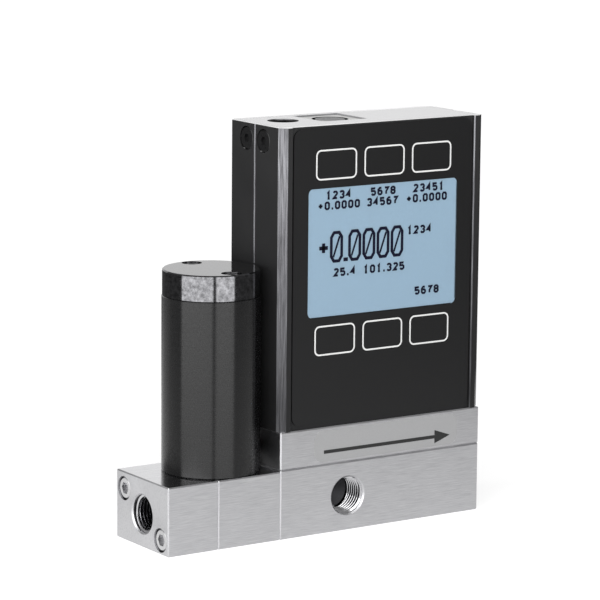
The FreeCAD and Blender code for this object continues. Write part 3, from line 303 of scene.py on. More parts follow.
def brushed(name, light, dark, grind, depth=BRUSH_DEPTH):
    """Bare metal brushed along X: lines across Y and Z, and a plain ground finish on its ends, painted
    lighter as painted light.
    """
    material, output = new_material(name)
    coords = node(material, "ShaderNodeTexCoord")
    stretched = node(
        material,
        "ShaderNodeMapping",
        {"Scale": (1 / BRUSH_LENGTH, 1 / BRUSH_LINE, 1 / BRUSH_LINE)},
        {"Vector": coords.outputs["Object"]},
    )
    lines = node(
        material,
        "ShaderNodeTexNoise",
        {"Scale": 1.0, "Detail": 4.0, "Roughness": 0.65, "Distortion": 0.4},
        {"Vector": stretched.outputs[0]},
    )
    fine = node(
        material,
        "ShaderNodeTexNoise",
        {"Scale": 1 / GROUND_GRAIN, "Detail": 3.0, "Roughness": 0.6},
        {"Vector": coords.outputs["Object"]},
    )
    geometry = node(material, "ShaderNodeNewGeometry")
    normal = node(material, "ShaderNodeSeparateXYZ", None, {0: geometry.outputs["Normal"]})
    facing_x = node(material, "ShaderNodeMath", {"operation": "ABSOLUTE"}, {0: normal.outputs[0]})
    end_face = node(
        material,
        "ShaderNodeMapRange",
        {"From Min": 0.75, "From Max": 0.95},
        {"Value": facing_x.outputs[0]},
    )
    pattern = node(
        material,
        "ShaderNodeMix",
        {"data_type": "FLOAT"},
        {0: end_face.outputs[0], 2: lines.outputs["Fac"], 3: fine.outputs["Fac"]},
    )
    clouds = node(
        material,
        "ShaderNodeTexNoise",
        {"Scale": 1 / HANDLED_PATCH, "Detail": 2.0},
        {"Vector": coords.outputs["Object"]},
    )
    blend = node(
        material,
        "ShaderNodeMapRange",
        {"From Min": 0.3, "From Max": 0.7},
        {"Value": pattern.outputs[0]},
    )
    # The end faces are painted lighter here: painted light.
    grain_and_end_light = node(
        material,
        "ShaderNodeMath",
        {"operation": "MULTIPLY_ADD", "use_clamp": True, 1: END_PAINTED_LIGHT},
        {0: end_face.outputs[0], 2: blend.outputs[0]},
    )
    colour = node(
        material,
        "ShaderNodeMix",
        {"data_type": "RGBA", 6: linear(dark), 7: linear(light)},
        {0: grain_and_end_light.outputs[0]},
    )
    brushed_roughness = node(
        material,
        "ShaderNodeMapRange",
        {"From Min": 0.3, "From Max": 0.7, "To Min": grind - 0.05, "To Max": grind + 0.07},
        {"Value": clouds.outputs["Fac"]},
    )
    milled_top = node(
        material, "ShaderNodeMapRange", {"From Min": 0.9, "From Max": 0.98}, {"Value": normal.outputs[2]}
    )
    roughness = node(
        material,
        "ShaderNodeMix",
        {"data_type": "FLOAT", 3: MILLED_GRIND},
        {0: milled_top.outputs[0], 2: brushed_roughness.outputs[0]},
    )
    bump = node(
        material, "ShaderNodeBump", {"Strength": 0.6, "Distance": depth}, {"Height": pattern.outputs[0]}
    )
    tangent = node(material, "ShaderNodeTangent", {"direction_type": "RADIAL", "axis": "X"})
    metal = node(
        material,
        "ShaderNodeBsdfPrincipled",
        {"Metallic": 1.0, "Anisotropic": 0.6},
        {
            "Base Color": colour.outputs[2],
            "Roughness": roughness.outputs[0],
            "Normal": bump.outputs[0],
            "Tangent": tangent.outputs[0],
        },
    )
    material.node_tree.links.new(metal.outputs[0], output.inputs["Surface"])
    return material


brushed_aluminium = brushed("brushed_aluminium", "#dcdcde", "#bebec1", 0.34)
dress(brushed_aluminium, "inlet_block", "valve_block", "base_block", "adapter_plate")

# Each port is tapped with a fine taper pipe thread. Its crests stand in from the bored wall as one
# long ridge, bright where the tap has polished it. The wall between its turns and the hole beyond are
# painted dark, as painted shade for the little light that gets there.
THREAD_PITCH = 0.94 * MM
THREAD_HIGH = 0.5 * MM
THREAD_SINK = 0.06 * MM
THREAD_ROOT = 0.32 * THREAD_PITCH
THREAD_CREST = 0.07 * THREAD_PITCH
THREAD_START = 0.75 * THREAD_PITCH
THREAD_ENDS = 1.6 * THREAD_PITCH
STEPS_A_TURN = 56
TAPER_STEPS = 14
PORT_R = 4.8 * MM
END_PORT_DEEP = 9.63 * MM
SIDE_PORT_DEEP = 7.63 * MM
SIDE_PORT_ALONG = 20.5 * MM
INLET_PORT_Z = 8.4 * MM
PORT_Z = 9.0 * MM
MOUTH_DEEP = 0.6 * MM
BORE_FADE = 0.3 * MM
WALL_SLACK = 0.1 * MM
# The colour painted into the bores as painted shade.
BORE_PAINTED_SHADE = "#303032"


def mesh_piece(name, points, faces, material):
    """A new piece from its points and faces, which rides on the controller."""
    mesh = bpy.data.meshes.new(name)
    mesh.from_pydata(points, [], faces)
    mesh.validate()
    mesh.materials.append(material)
    piece = bpy.data.objects.new(name, mesh)
    bpy.context.scene.collection.objects.link(piece)
    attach(piece, "controller")


def internal_thread(name, mouth, inward, bore, depth, material):
    """A helical ridge inside a bore: three sides of its section show, and its root is in the wall."""
    inward = Vector(inward)
    across = Vector((0, 0, 1))
    side = inward.cross(across)
    steps = int((depth - THREAD_ENDS) / THREAD_PITCH * STEPS_A_TURN)
    section = (
        (bore + THREAD_SINK, -THREAD_ROOT),
        (bore - THREAD_HIGH, -THREAD_CREST),
        (bore - THREAD_HIGH, THREAD_CREST),
        (bore + THREAD_SINK, THREAD_ROOT),
    )
    points = []
    for step in range(steps + 1):
        turn = 2 * math.pi * step / STEPS_A_TURN
        out = across * math.cos(turn) + side * math.sin(turn)
        along = THREAD_START + THREAD_PITCH * step / STEPS_A_TURN
        taper = min(1, step / TAPER_STEPS, (steps - step) / TAPER_STEPS)
        for radius, shift in section:
            radius = bore + THREAD_SINK - (bore + THREAD_SINK - radius) * taper
            points.append(Vector(mouth) + out * radius + inward * (along + shift))
    faces = []
    for step in range(steps):
        for edge in range(4):
            a = 4 * step + edge
            b = 4 * step + (edge + 1) % 4
            faces.append((a, b, b + 4, a + 4))
    last = 4 * steps
    faces += [(3, 2, 1, 0), (last, last + 1, last + 2, last + 3)]
    mesh_piece(name, points, faces, material)


def paint_bore_shade(material, mouth, inward, low, high, bore=PORT_R):
    """Paints shade on the metal inside a bore, round its axis and between two places along it."""
    coords = node(material, "ShaderNodeTexCoord")
    inside = node(
        material, "ShaderNodeVectorMath", {"operation": "SUBTRACT", 1: mouth}, {0: coords.outputs["Object"]}
    )
    along = node(
        material, "ShaderNodeVectorMath", {"operation": "DOT_PRODUCT", 1: inward}, {0: inside.outputs[0]}
    )
    across = node(
        material,
        "ShaderNodeVectorMath",
        {"operation": "MULTIPLY", 1: [1 - abs(part) for part in inward]},
        {0: inside.outputs[0]},
    )
    radius = node(material, "ShaderNodeVectorMath", {"operation": "LENGTH"}, {0: across.outputs[0]})
    shares = []
    for distance, start, end, before, after in (
        (radius, bore + WALL_SLACK, bore + 2 * WALL_SLACK, 1.0, 0.0),
        (along, low, low + BORE_FADE, 0.0, 1.0),
        (along, high, high + BORE_FADE, 1.0, 0.0),
    ):
        limits = {"From Min": start, "From Max": end, "To Min": before, "To Max": after}
        edge = node(material, "ShaderNodeMapRange", limits, {"Value": distance.outputs["Value"]})
        shares.append(edge.outputs[0])
    span = node(material, "ShaderNodeMath", {"operation": "MULTIPLY"}, {0: shares[1], 1: shares[2]})
    share = node(material, "ShaderNodeMath", {"operation": "MULTIPLY"}, {0: shares[0], 1: span.outputs[0]})
    face = material.node_tree.nodes["Principled BSDF"]
    dark = node(
        material,
        "ShaderNodeMix",
        {"data_type": "RGBA", 7: linear(BORE_PAINTED_SHADE)},
        {0: share.outputs[0], 6: face.inputs["Base Color"].links[0].from_socket},
    )
    material.node_tree.links.new(dark.outputs[2], face.inputs["Base Color"])


threaded_aluminium = brushed("tapped_aluminium", "#e2e2e4", "#b4b4b7", 0.1, depth=0.001 * MM)
inlet_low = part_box("inlet_block")[0]
base_low, base_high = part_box("base_block")
side_port_x = base_low[0] + SIDE_PORT_ALONG
for name, mouth, inward, depth in (
    ("inlet_port_thread", (inlet_low[0], 0, INLET_PORT_Z), (1, 0, 0), END_PORT_DEEP),
    ("side_port_thread", (side_port_x, base_low[1], PORT_Z), (0, 1, 0), SIDE_PORT_DEEP),
    ("outlet_port_thread", (base_high[0], 0, PORT_Z), (-1, 0, 0), END_PORT_DEEP),
):
    internal_thread(name, mouth, inward, PORT_R, depth, threaded_aluminium)
    paint_bore_shade(brushed_aluminium, mouth, inward, MOUTH_DEEP, depth + 2 * PORT_R)

# The housing is two drawn halves of aluminium, blasted and hard anodised black. Its bevels were cut
# after the coat and are streaked along their length, and its sawn top ends are bare. The bare bevels
# are given a dark colour, as painted shade that holds down the soft boxes' light on them.
BLAST_GRAIN = 0.12 * MM
BEVEL_STREAK = 0.3 * MM
BEVEL_LENGTH = 9 * MM
COAT_CLOUD = 16 * MM
COAT_PIT = 0.003 * MM
BARE_ROUGHNESS = 0.24

hard_anodised_black, output = new_material("hard_anodised_black")
coords = node(hard_anodised_black, "ShaderNodeTexCoord")
blasted = node(
    hard_anodised_black,
    "ShaderNodeTexNoise",
    {"Scale": 1 / BLAST_GRAIN, "Detail": 4.0, "Roughness": 0.6},
    {"Vector": coords.outputs["Object"]},
)
clouds = node(
    hard_anodised_black,
    "ShaderNodeTexNoise",
    {"Scale": 1 / COAT_CLOUD, "Detail": 3.0},
    {"Vector": coords.outputs["Object"]},
)
along_z = node(
    hard_anodised_black,
    "ShaderNodeMapping",
    {"Scale": (1 / BEVEL_STREAK, 1 / BEVEL_STREAK, 1 / BEVEL_LENGTH)},
    {"Vector": coords.outputs["Object"]},
)
streaks = node(
    hard_anodised_black,
    "ShaderNodeTexNoise",
    {"Scale": 1.0, "Detail": 3.0, "Roughness": 0.6},
    {"Vector": along_z.outputs[0]},
)
geometry = node(hard_anodised_black, "ShaderNodeNewGeometry")
normal = node(hard_anodised_black, "ShaderNodeSeparateXYZ", None, {0: geometry.outputs["Normal"]})
slant = node(
    hard_anodised_black,
    "ShaderNodeMath",
    {"operation": "MULTIPLY"},
    {0: normal.outputs[0], 1: normal.outputs[1]},
)
slant_size = node(hard_anodised_black, "ShaderNodeMath", {"operation": "ABSOLUTE"}, {0: slant.outputs[0]})
on_bevel = node(
    hard_anodised_black,
    "ShaderNodeMapRange",
    {"From Min": 0.3, "From Max": 0.45},
    {"Value": slant_size.outputs[0]},
)
on_end = node(
    hard_anodised_black,
    "ShaderNodeMapRange",
    {"From Min": 0.85, "From Max": 0.95},
    {"Value": normal.outputs[2]},
)
flat_colour = node(
    hard_anodised_black,
    "ShaderNodeMix",
    {"data_type": "RGBA", 6: linear("#161617"), 7: linear("#1e1e1f")},
    {0: blasted.outputs["Fac"]},
)
streak_range = node(
    hard_anodised_black,
    "ShaderNodeMapRange",
    {"From Min": 0.35, "From Max": 0.65},
    {"Value": streaks.outputs["Fac"]},
)
# The bevels' streaks are real, and their dark tone is painted shade: bare aluminium is far lighter.
bevel_streaks_and_shade = node(
    hard_anodised_black,
    "ShaderNodeMix",
    {"data_type": "RGBA", 6: linear("#424244"), 7: linear("#6a6a6d")},
    {0: streak_range.outputs[0]},
)
sides = node(
    hard_anodised_black,
    "ShaderNodeMix",
    {"data_type": "RGBA"},
    {0: on_bevel.outputs[0], 6: flat_colour.outputs[2], 7: bevel_streaks_and_shade.outputs[2]},
)
colour = node(
    hard_anodised_black,
    "ShaderNodeMix",
    {"data_type": "RGBA", 7: linear("#efeff0")},
    {0: on_end.outputs[0], 6: sides.outputs[2]},
)
bare = node(
    hard_anodised_black,
    "ShaderNodeMath",
    {"operation": "MAXIMUM"},
    {0: on_bevel.outputs[0], 1: on_end.outputs[0]},
)
coat_roughness = node(
    hard_anodised_black,
    "ShaderNodeMapRange",
    {"From Min": 0.3, "From Max": 0.7, "To Min": 0.4, "To Max": 0.5},
    {"Value": clouds.outputs["Fac"]},
)
roughness = node(
    hard_anodised_black,
    "ShaderNodeMix",
    {"data_type": "FLOAT", 3: BARE_ROUGHNESS},
    {0: bare.outputs[0], 2: coat_roughness.outputs[0]},
)
bump = node(
    hard_anodised_black,
    "ShaderNodeBump",
    {"Strength": 0.5, "Distance": COAT_PIT},
    {"Height": blasted.outputs["Fac"]},
)
tangent = node(hard_anodised_black, "ShaderNodeTangent", {"direction_type": "RADIAL", "axis": "Z"})
coat = node(
    hard_anodised_black,
    "ShaderNodeBsdfPrincipled",
    {"Specular IOR Level": 0.278, "Anisotropic": 0.9},
    {
        "Base Color": colour.outputs[2],
        "Metallic": bare.outputs[0],
        "Roughness": roughness.outputs[0],
        "Normal": bump.outputs[0],
        "Tangent": tangent.outputs[0],
    },
)
hard_anodised_black.node_tree.links.new(coat.outputs[0], output.inputs["Surface"])
dress(hard_anodised_black, "front_shell", "rear_shell")

# The valve's can is turned from bar and anodised black. The lathe leaves rings too fine to see one by
# one, drawn a little coarser here, which pull each soft box out into a tall straight band.
TURNED_RING = 0.14 * MM
RING_LENGTH = 14 * MM
RING_DEPTH = 0.001 * MM
COAT_SPECK = 0.7 * MM


def turned_black(name, dark, light, roughness, spread=1.0):
    """Turned metal under a black coat: rings round Z, and a reflection that spreads along Z."""
    material, output = new_material(name)
    coords = node(material, "ShaderNodeTexCoord")
    mapped = node(
        material,
        "ShaderNodeMapping",
        {"Scale": (1 / RING_LENGTH, 1 / RING_LENGTH, 1 / TURNED_RING)},
        {"Vector": coords.outputs["Object"]},
    )
    rings = node(
        material,
        "ShaderNodeTexNoise",
        {"Scale": 1.0, "Detail": 4.0, "Roughness": 0.6},
        {"Vector": mapped.outputs[0]},
    )
    specks = node(
        material,
        "ShaderNodeTexNoise",
        {"Scale": 1 / COAT_SPECK, "Detail": 2.0},
        {"Vector": coords.outputs["Object"]},
    )
    blend = node(
        material,
        "ShaderNodeMapRange",
        {"From Min": 0.45, "From Max": 0.8},
        {"Value": rings.outputs["Fac"]},
    )
    colour = node(
        material,
        "ShaderNodeMix",
        {"data_type": "RGBA", 6: linear(dark), 7: linear(light)},
        {0: blend.outputs[0]},
    )
    rough = node(
        material,
        "ShaderNodeMapRange",
        {"From Min": 0.35, "From Max": 0.65, "To Min": roughness - 0.03, "To Max": roughness + 0.05},
        {"Value": specks.outputs["Fac"]},
    )
    bump = node(
        material,
        "ShaderNodeBump",
        {"Strength": 0.25, "Distance": RING_DEPTH},
        {"Height": rings.outputs["Fac"]},
    )
    tangent = node(material, "ShaderNodeTangent", {"direction_type": "RADIAL", "axis": "Z"})
    coat = node(
        material,
        "ShaderNodeBsdfPrincipled",
        {"Anisotropic": spread, "Anisotropic Rotation": 0.25},
        {
            "Base Color": colour.outputs[2],
            "Roughness": rough.outputs[0],
            "Normal": bump.outputs[0],
            "Tangent": tangent.outputs[0],
        },
    )
    material.node_tree.links.new(coat.outputs[0], output.inputs["Surface"])
    return material


turned_anodised_black = turned_black("turned_anodised_black", "#0a0a0b", "#151516", 0.26)
dress(turned_anodised_black, "valve_can")

# Its lid is turned from the same bar, but polished and blackened by an oxide, so it mirrors the room.
# The oxide is blotched, and lighter where it has been handled.
BLOTCH = 1.1 * MM
TOP_CLEAR = -0.85

polished_black_oxide, output = new_material("polished_black_oxide")
coords = node(polished_black_oxide, "ShaderNodeTexCoord")
blotches = node(
    polished_black_oxide,
    "ShaderNodeTexNoise",
    {"Scale": 1 / BLOTCH, "Detail": 4.0, "Roughness": 0.7},
    {"Vector": coords.outputs["Object"]},
)
shade = node(
    polished_black_oxide,
    "ShaderNodeMapRange",
    {"From Min": 0.35, "From Max": 0.65},
    {"Value": blotches.outputs["Fac"]},
)
geometry = node(polished_black_oxide, "ShaderNodeNewGeometry")
normal = node(polished_black_oxide, "ShaderNodeSeparateXYZ", None, {0: geometry.outputs["Normal"]})
clear_top = node(
    polished_black_oxide,
    "ShaderNodeMath",
    {"operation": "MULTIPLY_ADD", "use_clamp": True, 1: TOP_CLEAR},
    {0: normal.outputs[2], 2: shade.outputs[0]},
)
colour = node(
    polished_black_oxide,
    "ShaderNodeMix",
    {"data_type": "RGBA", 6: linear("#5c5c5e"), 7: linear("#949497")},
    {0: clear_top.outputs[0]},
)
lid_metal = node(
    polished_black_oxide,
    "ShaderNodeBsdfPrincipled",
    {"Metallic": 1.0, "Roughness": 0.1},
    {"Base Color": colour.outputs[2]},
)
polished_black_oxide.node_tree.links.new(lid_metal.outputs[0], output.inputs["Surface"])
dress(polished_black_oxide, "valve_cap")

# The fasteners are socket screws. Those in the housing and the lid are steel blackened by an oxide,
# so they hardly stand out, and those in the blocks are bright turned stainless steel.
blackened_steel = turned_black("blackened_steel", "#101011", "#242425", 0.3, spread=0.2)
dress(blackened_steel, "left_panel_screws", "right_panel_screws", "cap_screws")
stainless_screw = brushed("stainless_screw", "#e2e2e3", "#bcbcbe", 0.25)
dress(stainless_screw, "inlet_screws", "plate_screws", "shell_screws")

# The panel that closes the housing's top is an aluminium bar, milled flat and left bright. The hole
# for the power socket goes through it, and its inside is painted as dark as the ports, as painted shade.
JACK_HOLE_R = 4.0 * MM
JACK_HOLE_Y = 2.3 * MM
JACK_HOLE_DEEP = 10 * MM

milled_panel = brushed("milled_panel_aluminium", "#c4c4c6", "#b2b2b4", 0.3)
dress(milled_panel, "connector_panel")
panel_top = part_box("connector_panel")[1][2]
jack_low, jack_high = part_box("power_jack")
jack_hole = ((jack_low[0] + jack_high[0]) / 2, JACK_HOLE_Y, panel_top)
# Painted shade inside the power socket's hole.
paint_bore_shade(milled_panel, jack_hole, (0, 0, -1), WALL_SLACK, JACK_HOLE_DEEP, JACK_HOLE_R)

# The keypad is one printed polyester film over the whole front, dark grey with a satin face. Its six
# keys are only outlines, printed in off-white.
KEY_WIDE = 12.3 * MM
KEY_HIGH = 7.65 * MM
KEY_ROUND = 1.5 * MM
KEY_LINE = 0.4 * MM
KEY_PITCH = 14.6 * MM
UPPER_KEYS = 22.15 * MM
LOWER_KEYS = -22.25 * MM
PRINT_THICK = 0.02 * MM


def moulded(name, colour, mottle, roughness, grain, height=0.006 * MM, ior=1.5, specular=0.5):
    """Moulded or printed plastic: a fine even grain, with a slightly mottled colour."""
    material, output = new_material(name)
    coords = node(material, "ShaderNodeTexCoord")
    pits = node(
        material,
        "ShaderNodeTexNoise",
        {"Scale": 1 / grain, "Detail": 3.0, "Roughness": 0.55},
        {"Vector": coords.outputs["Object"]},
    )
    shade = node(
        material,
        "ShaderNodeMix",
        {"data_type": "RGBA", 6: linear(colour), 7: linear(mottle)},
        {0: pits.outputs["Fac"]},
    )
    rough = node(
        material,
        "ShaderNodeMapRange",
        {"To Min": roughness - 0.06, "To Max": roughness + 0.06},
        {"Value": pits.outputs["Fac"]},
    )
    bump = node(
        material,
        "ShaderNodeBump",
        {"Strength": 0.4, "Distance": height},
        {"Height": pits.outputs["Fac"]},
    )
    plastic = node(
        material,
        "ShaderNodeBsdfPrincipled",
        {"IOR": ior, "Specular IOR Level": specular},
        {"Base Color": shade.outputs[2], "Roughness": rough.outputs[0], "Normal": bump.outputs[0]},
    )
    material.node_tree.links.new(plastic.outputs[0], output.inputs["Surface"])
    return material


printed_film = moulded("printed_polyester_film", "#131314", "#171718", 0.42, 0.25 * MM, ior=1.36)
dress(printed_film, "keypad_overlay")
film_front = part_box("keypad_overlay")[0][1]
lens_low, lens_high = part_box("display_window")
display_x = (lens_low[0] + lens_high[0]) / 2
display_z = (lens_low[2] + lens_high[2]) / 2


def rounded_outline(x, z, wide, high, corner, steps=8):
    """The points of a rectangle with round corners, round its centre."""
    points = []
    for turn, (across, up) in enumerate(((1, 1), (-1, 1), (-1, -1), (1, -1))):
        for step in range(steps + 1):
            angle = math.radians(90) * (turn + step / steps)
            points.append(
                (
                    x + across * (wide / 2 - corner) + corner * math.cos(angle),
                    z + up * (high / 2 - corner) + corner * math.sin(angle),
                )
            )
    return points


def printed_band(points, faces, left, right, y, closed, thick=PRINT_THICK):
    """Adds a band as thin as its ink between two rows of points, seen from the front."""
    start = len(points)
    count = len(left)
    for depth in (y - thick, y):
        points += [(px, depth, pz) for px, pz in left]
        points += [(px, depth, pz) for px, pz in right]
    for i in range(count if closed else count - 1):
        j = (i + 1) % count
        for a, b in ((0, count), (count, 3 * count), (3 * count, 2 * count), (2 * count, 0)):
            faces.append((start + a + i, start + b + i, start + b + j, start + a + j))
    if not closed:
        for i in (0, count - 1):
            faces.append((start + i, start + count + i, start + 3 * count + i, start + 2 * count + i))


white_ink = moulded("white_screen_ink", "#e6e6e5", "#d6d6d5", 0.5, 0.2 * MM)
key_points, key_faces = [], []
for row in (UPPER_KEYS, LOWER_KEYS):
    for column in (-1, 0, 1):
        key_x = display_x + column * KEY_PITCH
        key_z = display_z + row
        outer = rounded_outline(key_x, key_z, KEY_WIDE, KEY_HIGH, KEY_ROUND)
        inner = rounded_outline(
            key_x, key_z, KEY_WIDE - 2 * KEY_LINE, KEY_HIGH - 2 * KEY_LINE, KEY_ROUND - KEY_LINE
        )
        printed_band(key_points, key_faces, outer, inner, film_front, closed=True)
mesh_piece("key_outlines", key_points, key_faces, white_ink)

# The window in the film is a lens, cut from clear cast acrylic with a faint blue cast. Its face lies
# a tenth of a millimetre behind the film's, and blurs what it mirrors.
clear_acrylic, output = new_material("clear_acrylic")
fresnel = node(clear_acrylic, "ShaderNodeFresnel", {"IOR": 1.49})
through = node(clear_acrylic, "ShaderNodeBsdfTransparent", {"Color": linear("#fdfeff")})
gloss = node(clear_acrylic, "ShaderNodeBsdfGlossy", {"Color": (1, 1, 1, 1), "Roughness": 0.12})
mixed = node(
    clear_acrylic,
    "ShaderNodeMixShader",
    None,
    {0: fresnel.outputs[0], 1: through.outputs[0], 2: gloss.outputs[0]},
)
clear_acrylic.node_tree.links.new(mixed.outputs[0], output.inputs["Surface"])
dress(clear_acrylic, "display_window")

# The display is a graphic liquid crystal glass, lit from behind by its own lamp. A light blue
# polariser is laminated into the lens, close behind its front, and fills the window.
POLARISER_MARGIN = 0.1 * MM
POLARISER_IN = 0.15 * MM
POLARISER_THICK = 0.03 * MM

lcd_polariser = moulded("lcd_polariser", "#93a9b9", "#9cb3c3", 0.35, 0.9 * MM, height=0.0)
lcd_face = lcd_polariser.node_tree.nodes["Principled BSDF"]
lcd_face.inputs["Emission Color"].default_value = linear("#9bb2c1")
lcd_face.inputs["Emission Strength"].default_value = 0.3
dress(lcd_polariser, "lcd_glass")
polariser_y = lens_low[1] + POLARISER_IN
corners = [
    (x, y, z)
    for y in (polariser_y, polariser_y + POLARISER_THICK)
    for x, z in (
        (lens_low[0] + POLARISER_MARGIN, lens_low[2] + POLARISER_MARGIN),
        (lens_high[0] - POLARISER_MARGIN, lens_low[2] + POLARISER_MARGIN),
        (lens_high[0] - POLARISER_MARGIN, lens_high[2] - POLARISER_MARGIN),
        (lens_low[0] + POLARISER_MARGIN, lens_high[2] - POLARISER_MARGIN),
    )
]
sides = [(i, (i + 1) % 4, (i + 1) % 4 + 4, i + 4) for i in range(4)]
faces = [(3, 2, 1, 0), (4, 5, 6, 7)] + sides
mesh_piece("polariser_sheet", corners, faces, lcd_polariser)

# The driven dots of the display show plain readings. Each mark is a stroke along a grid of four by
# six, with mitred corners, on the front of the polariser.
GLYPHS = {
    "0": [((1, 0), (3, 0), (4, 1), (4, 5), (3, 6), (1, 6), (0, 5), (0, 1), (1, 0))],
    "1": [((0.8, 4.9), (2, 6), (2, 0)), ((0.8, 0), (3.2, 0))],
    "2": [((0, 5), (1, 6), (3, 6), (4, 5), (4, 4), (0.2, 0), (4, 0))],
    "3": [((0, 5), (1, 6), (3, 6), (4, 5), (4, 4), (3, 3), (4, 2), (4, 1), (3, 0), (1, 0), (0, 1))],
    "4": [((3, 0), (3, 6), (0, 2.2), (4, 2.2))],
    "5": [((4, 6), (0, 6), (0, 3.5), (3, 3.5), (4, 2.5), (4, 1), (3, 0), (1, 0), (0, 1))],
    "6": [((3.6, 6), (1.6, 6), (0, 4.4), (0, 1), (1, 0), (3, 0), (4, 1), (4, 2.4), (3, 3.4), (0, 3.4))],
    "7": [((0, 6), (4, 6), (1.6, 2.4), (1.6, 0))],
    "8": [
        ((1, 3.2), (0, 4.2), (0, 5), (1, 6), (3, 6), (4, 5), (4, 4.2), (3, 3.2), (1, 3.2)),
        ((1, 3.2), (0, 2.2), (0, 1), (1, 0), (3, 0), (4, 1), (4, 2.2), (3, 3.2)),
    ],
    "/": [((0.9, 0.9), (3.1, 5.1))],
    "+": [((-0.2, 3), (4.2, 3)), ((2, 0.9), (2, 5.1))],
    ".": [((1.1, 0.1), (2.9, 0.1))],
}
POINT_ADVANCE = 0.55
SMALL_WIDE = 1.6 * MM
SMALL_HIGH = 2.15 * MM
SMALL_PITCH = 2.0 * MM
SMALL_STROKE = 0.54 * MM
BIG_WIDE = 3.95 * MM
BIG_HIGH = 8.0 * MM
BIG_PITCH = 4.34 * MM
BIG_STROKE = 0.8 * MM
SLASH_STROKE = 0.54 * MM
POINT_STROKE = 0.95 * MM
SIGN_WIDE = 3.3 * MM
SIGN_HIGH = 4.4 * MM
SIGN_LEFT = 3.05 * MM
SIGN_FOOT = 17.32 * MM
FIRST_LEFT = 6.63 * MM
POINT_LEFT = 9.45 * MM
REST_LEFT = 12.16 * MM
BIG_FOOT = 19.05 * MM
INK_THICK = 0.03 * MM
mark_points, mark_faces = [], []


def stroke(line, width):
    """The two edges of a stroke with mitred corners along a line, and whether it closes."""
    closed = line[0] == line[-1]
    spots = [Vector(p) for p in (line[:-1] if closed else line)]
    count = len(spots)
    left, right = [], []
    for i, spot in enumerate(spots):
        before = (spot - spots[i - 1]).normalized() if closed or i else None
        after = (spots[(i + 1) % count] - spot).normalized() if closed or i < count - 1 else None
        before = before or after
        after = after or before
        along = (before + after).normalized()
        aside = Vector((-along.y, along.x)) * width / 2 / max(0.4, along.dot(after))
        left.append(tuple(spot + aside))
        right.append(tuple(spot - aside))
    return left, right, closed


def write(text, left, down, pitch, wide, high, width):
    """Adds the marks of a reading, by its left end and its foot from the lens's upper left corner."""
    middle = lens_low[0] + left + wide / 2
    foot = lens_high[2] - down
    before = None
    for sign in text:
        advance = POINT_ADVANCE if sign == "." else 1
        middle += pitch * (before + advance) / 2 if before else 0
        before = advance
        for line in GLYPHS.get(sign, ()):
            spots = [
                (middle + (gx / 4 - 0.5) * (wide - width), foot + width / 2 + gz / 6 * (high - width))
                for gx, gz in line
            ]
            edges = stroke(spots, width)
            printed_band(mark_points, mark_faces, *edges[:2], polariser_y, edges[2], thick=INK_THICK)


small = (SMALL_PITCH, SMALL_WIDE, SMALL_HIGH, SMALL_STROKE)
for text, left, down in (
    ("1234", 5.27, 2.99),
    ("5678", 18.88, 2.99),
    ("23451", 31.98, 2.99),
    ("+0.0000", 2.88, 5.59),
    ("34567", 17.68, 5.59),
    ("+0.0000", 29.88, 5.59),
    ("1234", 30.28, 13.67),
    ("25.4 101.325", 7.78, 22.62),
    ("5678", 32.88, 29.47),
):
    write(text, left * MM, down * MM, *small)
write("+", SIGN_LEFT, SIGN_FOOT, BIG_PITCH, SIGN_WIDE, SIGN_HIGH, POINT_STROKE)
for sign, width in (("0", BIG_STROKE), ("/", SLASH_STROKE)):
    write(sign, FIRST_LEFT, BIG_FOOT, BIG_PITCH, BIG_WIDE, BIG_HIGH, width)
    write(sign * 4, REST_LEFT, BIG_FOOT, BIG_PITCH, BIG_WIDE, BIG_HIGH, width)
write(".", POINT_LEFT, BIG_FOOT, BIG_PITCH, BIG_WIDE, BIG_HIGH, POINT_STROKE)
lcd_dots = moulded("driven_lcd_dots", "#0c0a26", "#121033", 0.45, 0.3 * MM, height=0.0, ior=1.3)
mesh_piece("lcd_readings", mark_points, mark_faces, lcd_dots)

# The label in the plate is polyester film, metallised to a dull grey and stuck into its shallow bed.
# A black arrow is printed on it, which shows the direction of the flow.
metallised_film = moulded("metallised_label_film", "#979798", "#a0a0a1", 0.35, 0.5 * MM, 0.002 * MM)
dress(metallised_film, "flow_label")
black_ink = moulded("black_screen_ink", "#151515", "#1d1d1d", 0.5, 0.2 * MM)
label_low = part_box("flow_label")[0]
ARROW_START = 3.0 * MM
ARROW_NECK = 37.45 * MM
ARROW_TIP = 42.3 * MM
ARROW_UP = 2.55 * MM
ARROW_LINE = 0.9 * MM
ARROW_HEAD = 3.5 * MM
ARROW_POINT = 0.02 * MM

arrow_spots = (
    (ARROW_START, ARROW_LINE / 2),
    (ARROW_NECK, ARROW_LINE / 2),
    (ARROW_NECK, ARROW_HEAD / 2),
    (ARROW_TIP, ARROW_POINT),
)
arrow_points, arrow_faces = [], []
upper, lower = [
    [(label_low[0] + along, label_low[2] + ARROW_UP + sign * out) for along, out in arrow_spots]
    for sign in (1, -1)
]
printed_band(arrow_points, arrow_faces, upper, lower, label_low[1], closed=False)
mesh_piece("label_arrow", arrow_points, arrow_faces, black_ink)

